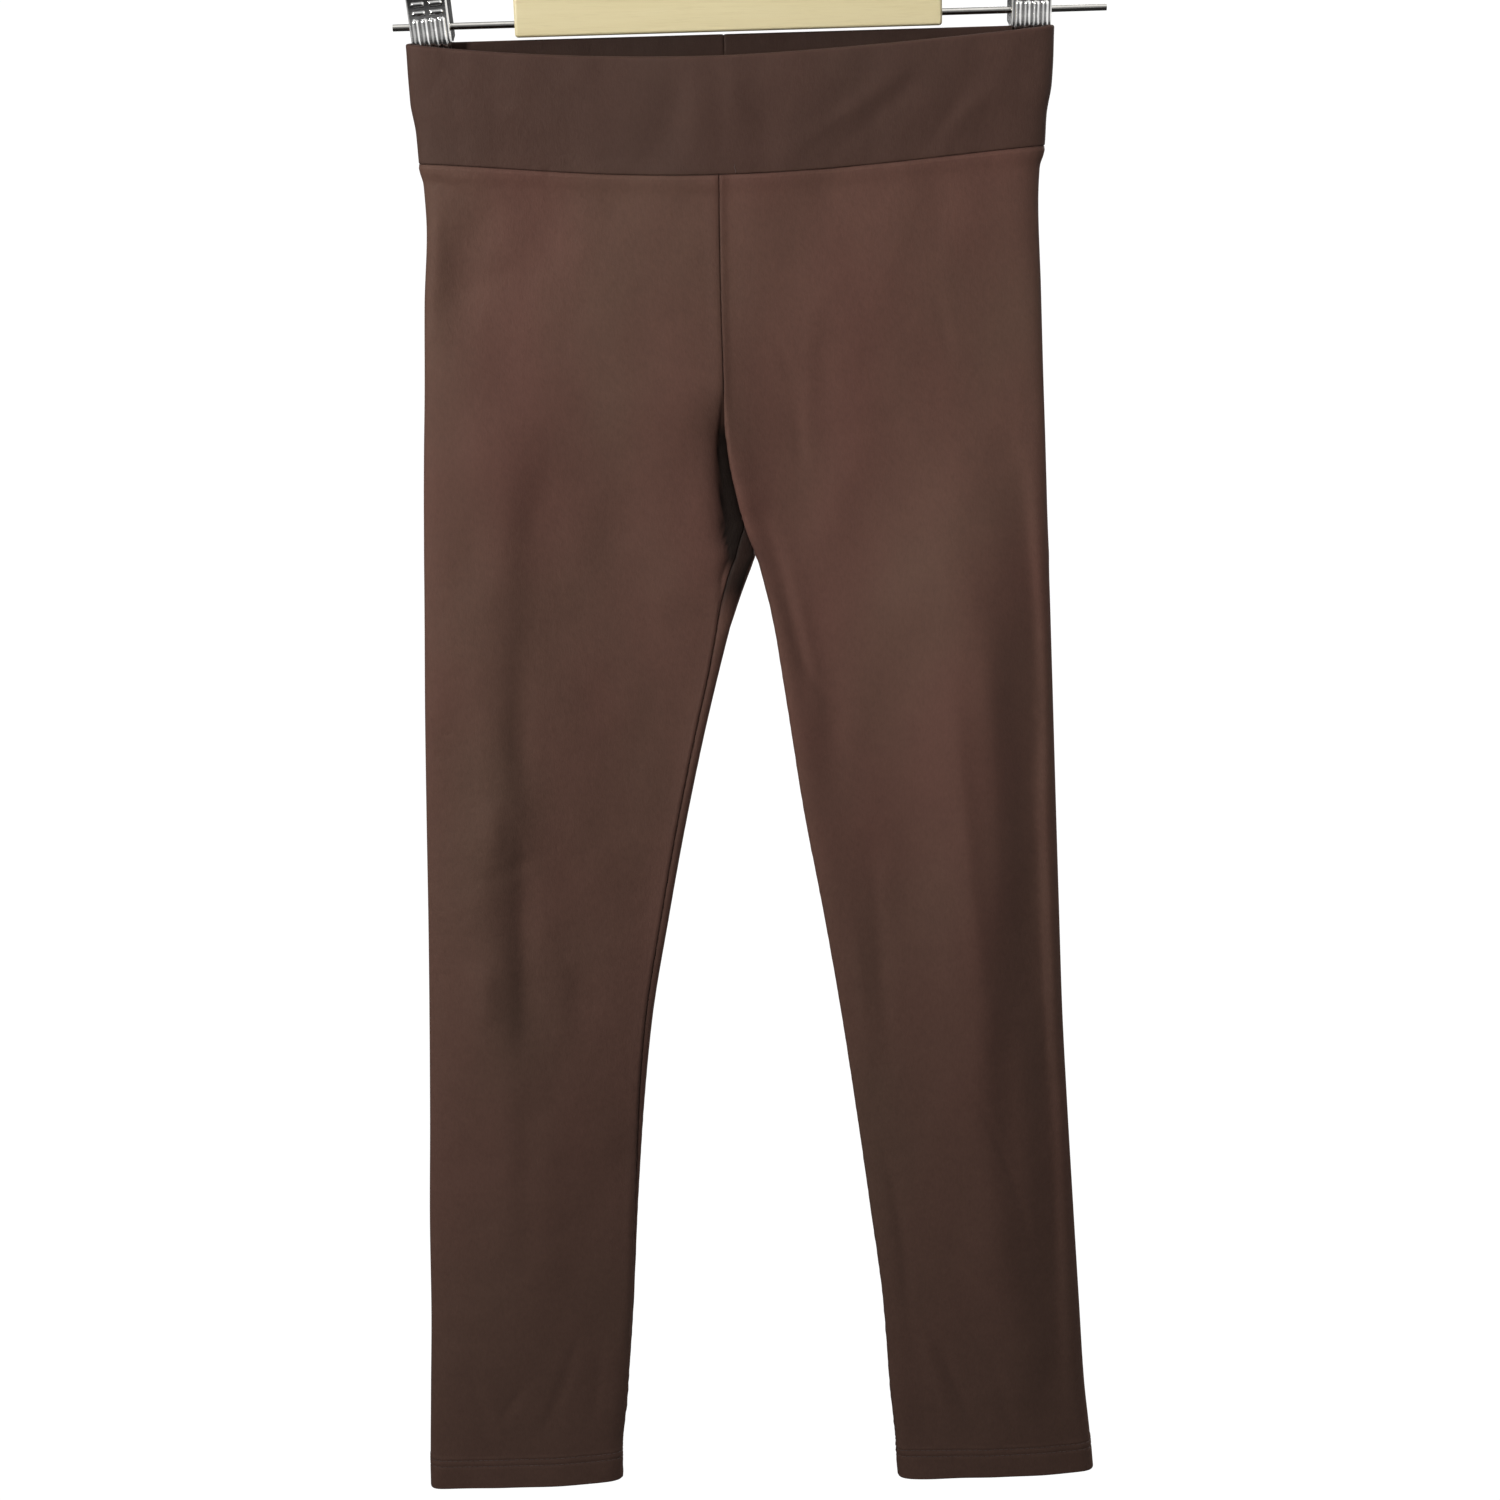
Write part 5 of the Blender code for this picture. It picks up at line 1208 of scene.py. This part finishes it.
def make_spring(name, rod_x, lean):
    """The coil round the rod; its two ends press the jaws' heads apart."""
    wire = 0.55
    mean = SPRING_OUTER / 2 - wire
    turns, points = 6.0, []
    length = SPRING_LENGTH - 2 * wire
    head = 15.0  # above the rod
    for t in np.linspace(0.0, 1.0, 8)[:-1]:  # end that leans on the front jaw
        z = head * (1 - t)
        points.append((-length / 2, -(mean + (8.0 - mean) * (1 - t) ** 1.3), z))
    for k in range(int(turns * 20) + 1):
        a = math.pi + 2 * math.pi * k / 20
        points.append((-length / 2 + length * k / (turns * 20), mean * math.cos(a), -mean * math.sin(a)))
    last = points[-1]
    for t in np.linspace(0.0, 1.0, 8)[1:]:
        z = head * t
        points.append((length / 2, last[1] * (1 - t) + (8.6 * t if t > 0 else 0.0), last[2] + z * 0.98))
    pts = place_on_rod(np.array(points), rod_x, lean)
    return swept(name, pts, wire, 10, domed=False)


# ------------------------------------------------------------------ materials
def new_material(name):
    made = bpy.data.materials.new(name)
    made.use_nodes = True
    tree = made.node_tree
    shader = tree.nodes["Principled BSDF"]
    return made, tree, shader


def add(tree, kind, **settings):
    made = tree.nodes.new(kind)
    for key, value in settings.items():
        if key in ("location",):
            continue
        setattr(made, key, value)
    return made


def noise(tree, source, scale, detail=2.0, rough=0.5, stretch=(1, 1, 1), distortion=0.0):
    mapping = add(tree, "ShaderNodeMapping")
    mapping.inputs["Scale"].default_value = stretch
    tree.links.new(source, mapping.inputs["Vector"])
    made = add(tree, "ShaderNodeTexNoise")
    made.inputs["Scale"].default_value = scale
    made.inputs["Detail"].default_value = detail
    made.inputs["Roughness"].default_value = rough
    made.inputs["Distortion"].default_value = distortion
    tree.links.new(mapping.outputs["Vector"], made.inputs["Vector"])
    return made.outputs["Fac"]


def math_node(tree, kind, a, b=None, clamp=False):
    made = add(tree, "ShaderNodeMath", operation=kind, use_clamp=clamp)
    for k, value in enumerate((a, b)):
        if value is None:
            continue
        if isinstance(value, (int, float)):
            made.inputs[k].default_value = value
        else:
            tree.links.new(value, made.inputs[k])
    return made.outputs[0]


def mix_colour(tree, kind, factor, a, b):
    made = add(tree, "ShaderNodeMix", data_type="RGBA", blend_type=kind)
    for socket, value in ((made.inputs[0], factor), (made.inputs[6], a), (made.inputs[7], b)):
        if isinstance(value, (int, float)):
            socket.default_value = value
        elif isinstance(value, tuple):
            socket.default_value = value if len(value) == 4 else (*value, 1.0)
        else:
            tree.links.new(value, socket)
    return made.outputs[2]


def ramp(tree, source, low, high):
    made = add(tree, "ShaderNodeMapRange")
    made.inputs["From Min"].default_value = low
    made.inputs["From Max"].default_value = high
    tree.links.new(source, made.inputs["Value"])
    return made.outputs["Result"]


def knit_material(name, warm, cool, roughness, shade=0.97):
    """Smooth heavy knit: soft reddish and greyish patches, a fine mottle, and
    short vertical grain, with painted shade and painted light from the shade attribute."""
    made, tree, shader = new_material(name)
    place = add(tree, "ShaderNodeTexCoord").outputs["Object"]
    patches = ramp(tree, noise(tree, place, 11.0, 2.0, 0.5, (1.0, 1.0, 0.55)), 0.30, 0.72)
    colour = mix_colour(tree, "MIX", patches, warm, cool)
    height = add(tree, "ShaderNodeSeparateXYZ")  # matched to the photo: a little greyer down the legs
    tree.links.new(place, height.inputs[0])
    low = ramp(tree, height.outputs["Z"], -0.50, -0.95)
    colour = mix_colour(tree, "MIX", math_node(tree, "MULTIPLY", low, 0.85), colour, (0.0885, 0.0508, 0.0390))
    blotch = ramp(tree, noise(tree, place, 75.0, 4.0, 0.6), 0.3, 0.7)
    mottle = ramp(tree, noise(tree, place, 420.0, 3.0, 0.6, (1.0, 1.0, 0.7)), 0.25, 0.75)
    grain = ramp(tree, noise(tree, place, 1500.0, 2.0, 0.6, (1.0, 1.0, 0.28)), 0.25, 0.75)
    amount = math_node(
        tree,
        "ADD",
        math_node(tree, "MULTIPLY", blotch, 0.07),
        math_node(tree, "ADD", math_node(tree, "MULTIPLY", mottle, 0.12), math_node(tree, "MULTIPLY", grain, 0.15)),
    )
    bright = math_node(tree, "ADD", amount, 0.83)
    # painted shade (seams, cleft, inner faces, slopes turned right) and painted light (slopes turned left, band top
    # edge)
    deep = add(tree, "ShaderNodeAttribute", attribute_name="shade")
    bright = math_node(
        tree, "MULTIPLY", bright, math_node(tree, "SUBTRACT", 1.0, math_node(tree, "MULTIPLY", deep.outputs["Fac"], shade))
    )
    lit = add(tree, "ShaderNodeVectorMath", operation="SCALE")
    tree.links.new(colour, lit.inputs[0])
    tree.links.new(bright, lit.inputs["Scale"])
    tree.links.new(lit.outputs[0], shader.inputs["Base Color"])
    rough = math_node(tree, "ADD", math_node(tree, "MULTIPLY", mottle, 0.10), roughness - 0.05)
    tree.links.new(rough, shader.inputs["Roughness"])
    shader.inputs["IOR"].default_value = 1.45
    shader.inputs["Specular IOR Level"].default_value = 0.24
    shader.inputs["Specular Tint"].default_value = (1.0, 0.80, 0.70, 1.0)
    shader.inputs["Sheen Weight"].default_value = 0.10
    shader.inputs["Sheen Roughness"].default_value = 0.40
    shader.inputs["Sheen Tint"].default_value = (0.62, 0.42, 0.35, 1.0)
    bump_a = add(tree, "ShaderNodeBump")
    bump_a.inputs["Strength"].default_value = 0.5
    bump_a.inputs["Distance"].default_value = 0.00012
    tree.links.new(math_node(tree, "ADD", mottle, grain), bump_a.inputs["Height"])
    bump_b = add(tree, "ShaderNodeBump")
    bump_b.inputs["Strength"].default_value = 0.5
    bump_b.inputs["Distance"].default_value = 0.0006
    tree.links.new(blotch, bump_b.inputs["Height"])
    tree.links.new(bump_a.outputs["Normal"], bump_b.inputs["Normal"])
    tree.links.new(bump_b.outputs["Normal"], shader.inputs["Normal"])
    return made


def thread_material():
    made, tree, shader = new_material("brown_thread")
    place = add(tree, "ShaderNodeTexCoord").outputs["Object"]
    twist = ramp(tree, noise(tree, place, 2600.0, 2.0, 0.6, (1.0, 1.0, 1.0)), 0.3, 0.7)
    colour = mix_colour(tree, "MIX", twist, (0.055, 0.030, 0.024), (0.085, 0.050, 0.042))
    tree.links.new(colour, shader.inputs["Base Color"])
    shader.inputs["Roughness"].default_value = 0.55
    shader.inputs["Sheen Weight"].default_value = 0.1
    bump = add(tree, "ShaderNodeBump")
    bump.inputs["Strength"].default_value = 0.5
    bump.inputs["Distance"].default_value = 0.0001
    tree.links.new(twist, bump.inputs["Height"])
    tree.links.new(bump.outputs["Normal"], shader.inputs["Normal"])
    return made


def wood_material():
    """Pale sanded wood under thin lacquer, its grain running along the bar."""
    made, tree, shader = new_material("pale_wood_bar")
    place = add(tree, "ShaderNodeTexCoord").outputs["Object"]
    broad = ramp(tree, noise(tree, place, 40.0, 3.0, 0.5, (0.10, 1.0, 1.6), 0.6), 0.3, 0.72)
    streak = ramp(tree, noise(tree, place, 300.0, 4.0, 0.62, (0.035, 1.0, 1.0), 0.4), 0.28, 0.75)
    pores = ramp(tree, noise(tree, place, 1500.0, 2.0, 0.6, (0.05, 1.0, 1.0)), 0.52, 0.78)
    colour = mix_colour(tree, "MIX", broad, (0.735, 0.640, 0.385), (0.665, 0.570, 0.310))
    colour = mix_colour(tree, "MIX", math_node(tree, "MULTIPLY", streak, 0.30), colour, (0.800, 0.725, 0.475))
    colour = mix_colour(tree, "MIX", math_node(tree, "MULTIPLY", pores, 0.22), colour, (0.500, 0.400, 0.190))
    facing = add(tree, "ShaderNodeSeparateXYZ")  # painted shade on the underside, darker where the surface faces down
    tree.links.new(add(tree, "ShaderNodeTexCoord").outputs["Normal"], facing.inputs[0])
    under = ramp(tree, facing.outputs["Z"], -0.25, -0.85)
    colour = mix_colour(tree, "MIX", math_node(tree, "MULTIPLY", under, 0.75), colour, (0.130, 0.095, 0.045))
    tree.links.new(colour, shader.inputs["Base Color"])
    rough = math_node(tree, "ADD", math_node(tree, "MULTIPLY", streak, 0.12), 0.40)
    tree.links.new(rough, shader.inputs["Roughness"])
    shader.inputs["Coat Weight"].default_value = 0.12
    shader.inputs["Coat Roughness"].default_value = 0.25
    bump = add(tree, "ShaderNodeBump")
    bump.inputs["Strength"].default_value = 0.35
    bump.inputs["Distance"].default_value = 0.00015
    tree.links.new(math_node(tree, "ADD", streak, pores), bump.inputs["Height"])
    tree.links.new(bump.outputs["Normal"], shader.inputs["Normal"])
    return made


def steel_material(name, tint, roughness):
    """Bright plated steel with faint rubbed streaks."""
    made, tree, shader = new_material(name)
    place = add(tree, "ShaderNodeTexCoord").outputs["Object"]
    rub = ramp(tree, noise(tree, place, 260.0, 3.0, 0.6), 0.3, 0.75)
    fine = ramp(tree, noise(tree, place, 1800.0, 2.0, 0.5, (0.2, 1.0, 1.0)), 0.3, 0.75)
    colour = mix_colour(tree, "MIX", rub, tint, tuple(0.86 * c for c in tint))
    tree.links.new(colour, shader.inputs["Base Color"])
    shader.inputs["Metallic"].default_value = 1.0
    rough = math_node(tree, "ADD", math_node(tree, "MULTIPLY", rub, 0.10), roughness)
    tree.links.new(math_node(tree, "ADD", rough, math_node(tree, "MULTIPLY", fine, 0.03)), shader.inputs["Roughness"])
    bump = add(tree, "ShaderNodeBump")
    bump.inputs["Strength"].default_value = 0.12
    bump.inputs["Distance"].default_value = 0.00006
    tree.links.new(fine, bump.inputs["Height"])
    tree.links.new(bump.outputs["Normal"], shader.inputs["Normal"])
    return made


# ---------------------------------------------------------------- build it all
KNIT_WARM, KNIT_COOL = (0.1058, 0.0494, 0.0388), (0.0940, 0.0525, 0.0383)
BAND_WARM, BAND_COOL = (0.0640, 0.0336, 0.0262), (0.0600, 0.0340, 0.0264)

knit = knit_material("brown_knit", KNIT_WARM, KNIT_COOL, 0.62)
knit_band = knit_material("brown_knit_band", BAND_WARM, BAND_COOL, 0.62)
thread = thread_material()
wood = wood_material()
clip_steel = steel_material("clip_plated_steel", (0.76, 0.755, 0.745), 0.06)
wire_steel = steel_material("wire_plated_steel", (0.70, 0.68, 0.64), 0.08)


def finish_piece(obj, material, slot, *nodes):
    obj.data.materials.clear()
    obj.data.materials.append(material)
    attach(obj, "root")
    if nodes:
        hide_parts(*nodes)
    return obj


band, band_outer, band_n, band_drops = make_band()
finish_piece(band, knit_band, "knit", "waistband")
for leg in ("right", "left"):
    obj, outer, n, drops = make_leg(leg)
    finish_piece(obj, knit, "knit", *("leg_" + leg + "_" + k for k in ("hip", "thigh", "knee", "calf")))
    rows = make_stitches(leg, outer, n, drops)
    finish_piece(rows, thread, "knit")
    cover = make_cover_thread(leg, outer, n, drops)
    finish_piece(cover, thread, "knit")
thread_end = finish_piece(make_thread_end(band_outer, band_n, band_drops), thread, "knit")

finish_piece(make_bar(), wood, "pale_wood", "hanger_body")
finish_piece(make_hook(), wire_steel, "hook_steel", "hanger_hook")
finish_piece(make_rod(), wire_steel, "hook_steel", "hanger_rod")
for name, rod_x, lean in CLIPS:
    finish_piece(make_jaw(name + "_jaw_front", rod_x, lean, True), clip_steel, "clip_steel", name + "_front")
    finish_piece(make_jaw(name + "_jaw_back", rod_x, lean, False), clip_steel, "clip_steel", name + "_back")
    finish_piece(make_spring(name + "_coil", rod_x, lean), wire_steel, "clip_steel", name + "_spring")

# ---------------------------------------------------------------------- studio
camera_data = bpy.data.cameras.new("camera")
camera_data.lens = 60.0
camera_data.sensor_width = 36.0
camera_data.clip_end = 200.0
camera = link(bpy.data.objects.new("camera", camera_data))
camera.matrix_world = (
    Matrix.Translation((0.0, -1.277, -0.126))
    @ Matrix.Rotation(math.radians(90.0 - 17.4), 4, "X")
    @ Matrix.Rotation(math.radians(-1.7), 4, "Z")
)
bpy.context.scene.camera = camera

bm = bmesh.new()
bmesh.ops.create_grid(bm, x_segments=8, y_segments=8, size=60.0)
floor_mesh = bpy.data.meshes.new("floor")
bm.to_mesh(floor_mesh)
bm.free()
floor = link(bpy.data.objects.new("floor", floor_mesh))
floor.location = (0, 0, -1.32)
floor_material, tree, shader = new_material("pale_floor")
shader.inputs["Base Color"].default_value = (0.30, 0.30, 0.30, 1.0)
shader.inputs["Roughness"].default_value = 0.9
glow = add(tree, "ShaderNodeEmission")
glow.inputs["Color"].default_value = (1.0, 1.0, 1.0, 1.0)
glow.inputs["Strength"].default_value = 1.06
path = add(tree, "ShaderNodeLightPath")
spread = add(tree, "ShaderNodeVectorMath", operation="LENGTH")
tree.links.new(add(tree, "ShaderNodeTexCoord").outputs["Object"], spread.inputs[0])
pool = add(tree, "ShaderNodeMapRange", interpolation_type="SMOOTHSTEP")
for name, value in (("From Min", 5.6), ("From Max", 10.0), ("To Min", 0.03), ("To Max", 0.24)):
    pool.inputs[name].default_value = value
tree.links.new(spread.outputs["Value"], pool.inputs["Value"])
mirrored = add(tree, "ShaderNodeEmission")
sideways = add(tree, "ShaderNodeSeparateXYZ")
tree.links.new(add(tree, "ShaderNodeTexCoord").outputs["Object"], sideways.inputs[0])
wall = add(tree, "ShaderNodeMapRange", interpolation_type="SMOOTHSTEP")  # the floor below a bright screen at the left
for name, value in (("From Min", -2.4), ("From Max", -5.5), ("To Min", 0.0), ("To Max", 0.45)):
    wall.inputs[name].default_value = value
tree.links.new(sideways.outputs["X"], wall.inputs["Value"])
screen_r = add(tree, "ShaderNodeMapRange", interpolation_type="SMOOTHSTEP")
for name, value in (("From Min", 3.0), ("From Max", 6.0), ("To Min", 0.0), ("To Max", 0.90)):
    screen_r.inputs[name].default_value = value
tree.links.new(sideways.outputs["X"], screen_r.inputs["Value"])
sides = math_node(tree, "ADD", wall.outputs["Result"], screen_r.outputs["Result"])
tree.links.new(math_node(tree, "ADD", pool.outputs["Result"], sides), mirrored.inputs["Strength"])
lit = add(tree, "ShaderNodeMixShader")
tree.links.new(path.outputs["Is Glossy Ray"], lit.inputs[0])
tree.links.new(shader.outputs[0], lit.inputs[1])
tree.links.new(mirrored.outputs[0], lit.inputs[2])
both = add(tree, "ShaderNodeMixShader")
tree.links.new(path.outputs["Is Camera Ray"], both.inputs[0])
tree.links.new(lit.outputs[0], both.inputs[1])
tree.links.new(glow.outputs[0], both.inputs[2])
tree.links.new(both.outputs[0], tree.nodes["Material Output"].inputs["Surface"])
floor_mesh.materials.append(floor_material)


def area_light(name, place, aim, size, power, colour=(1.0, 1.0, 1.0)):
    data = bpy.data.lights.new(name, "AREA")
    data.shape = "RECTANGLE"
    data.size, data.size_y = size
    data.energy = power
    data.color = colour
    obj = link(bpy.data.objects.new(name, data))
    obj.location = place
    obj.rotation_euler = (Vector(aim) - Vector(place)).to_track_quat("-Z", "Y").to_euler()
    return obj


def spot_light(name, place, aim, half_angle, radius, power, colour=(1.0, 1.0, 1.0)):
    data = bpy.data.lights.new(name, "SPOT")
    data.spot_size = math.radians(2 * half_angle)
    data.spot_blend = 1.0
    data.shadow_soft_size = radius
    data.energy = power
    data.color = colour
    obj = link(bpy.data.objects.new(name, data))
    obj.location = place
    obj.rotation_euler = (Vector(aim) - Vector(place)).to_track_quat("-Z", "Y").to_euler()
    return obj


spot_light("key", (-2.22, -2.30, 0.30), (-0.50, 0.0, -0.16), 18.5, 0.36, 366.0, (1.0, 0.985, 0.965))
spot_light("key_right", (-1.90, -2.50, 0.50), (0.36, 0.0, -0.24), 6.6, 0.26, 308.0, (1.0, 0.985, 0.965))
area_light("fill", (0.9, -1.5, 0.2), (0.0, 0.0, -0.4), (1.0, 1.0), 0.4)
area_light("rear", (0.8, 1.3, 0.35), (0.0, 0.0, -0.5), (1.0, 0.8), 12.0)

world = bpy.data.worlds.new("studio")
world.use_nodes = True
bpy.context.scene.world = world
wt = world.node_tree
background = wt.nodes["Background"]
direction = wt.nodes.new("ShaderNodeTexCoord").outputs["Generated"]
split = wt.nodes.new("ShaderNodeSeparateXYZ")
wt.links.new(direction, split.inputs[0])
height = wt.nodes.new("ShaderNodeMapRange")
height.inputs["From Min"].default_value = -0.6
height.inputs["From Max"].default_value = 0.9
height.inputs["To Min"].default_value = 0.04
height.inputs["To Max"].default_value = 0.34
wt.links.new(split.outputs["Z"], height.inputs["Value"])
wpath = wt.nodes.new("ShaderNodeLightPath")
panels = wt.nodes.new("ShaderNodeMapRange")  # bright panels above a darker room, for the steel
panels.interpolation_type = "SMOOTHSTEP"
for name, value in (("From Min", 0.42), ("From Max", 0.72), ("To Min", 0.26), ("To Max", 1.15)):
    panels.inputs[name].default_value = value
wt.links.new(split.outputs["Z"], panels.inputs["Value"])
screen = wt.nodes.new("ShaderNodeMapRange")  # and a bright screen at the left
screen.interpolation_type = "SMOOTHSTEP"
for name, value in (("From Min", -0.60), ("From Max", -0.84), ("To Min", 0.0), ("To Max", 0.34)):
    screen.inputs[name].default_value = value
wt.links.new(split.outputs["X"], screen.inputs["Value"])
screen_b = wt.nodes.new("ShaderNodeMapRange")  # a wider one at the right
screen_b.interpolation_type = "SMOOTHSTEP"
for name, value in (("From Min", 0.26), ("From Max", 0.50), ("To Min", 0.0), ("To Max", 1.5)):
    screen_b.inputs[name].default_value = value
wt.links.new(split.outputs["X"], screen_b.inputs["Value"])
rear_wall = wt.nodes.new("ShaderNodeMapRange")  # nothing bright behind the object
rear_wall.interpolation_type = "SMOOTHSTEP"
for name, value in (("From Min", 0.05), ("From Max", 0.45), ("To Min", 1.0), ("To Max", 0.25)):
    rear_wall.inputs[name].default_value = value
wt.links.new(split.outputs["Y"], rear_wall.inputs["Value"])


def world_math(kind, a, b):
    made = wt.nodes.new("ShaderNodeMath")
    made.operation = kind
    wt.links.new(a, made.inputs[0])
    wt.links.new(b, made.inputs[1])
    return made.outputs[0]


above = world_math("MULTIPLY", panels.outputs["Result"], rear_wall.outputs["Result"])
room = world_math("MAXIMUM", above, world_math("MAXIMUM", screen.outputs["Result"], screen_b.outputs["Result"]))
beside = wt.nodes.new("ShaderNodeMapRange")  # soft light from the right, which reaches the folds
beside.interpolation_type = "SMOOTHSTEP"
for name, value in (("From Min", 0.45), ("From Max", 0.95), ("To Min", 0.0), ("To Max", 0.60)):
    beside.inputs[name].default_value = value
wt.links.new(split.outputs["X"], beside.inputs["Value"])
soft = world_math("ADD", height.outputs["Result"], beside.outputs["Result"])
seen = wt.nodes.new("ShaderNodeMix")
wt.links.new(wpath.outputs["Is Glossy Ray"], seen.inputs[0])
wt.links.new(soft, seen.inputs[2])
wt.links.new(room, seen.inputs[3])
pick = wt.nodes.new("ShaderNodeMix")
pick.inputs[3].default_value = 1.06
wt.links.new(wpath.outputs["Is Camera Ray"], pick.inputs[0])
wt.links.new(seen.outputs[0], pick.inputs[2])
wt.links.new(pick.outputs[0], background.inputs["Strength"])
background.inputs["Color"].default_value = (1.0, 1.0, 1.0, 1.0)

bpy.context.scene.view_settings.view_transform = "Standard"
bpy.context.scene.view_settings.look = "None"

bpy.context.view_layer.update()
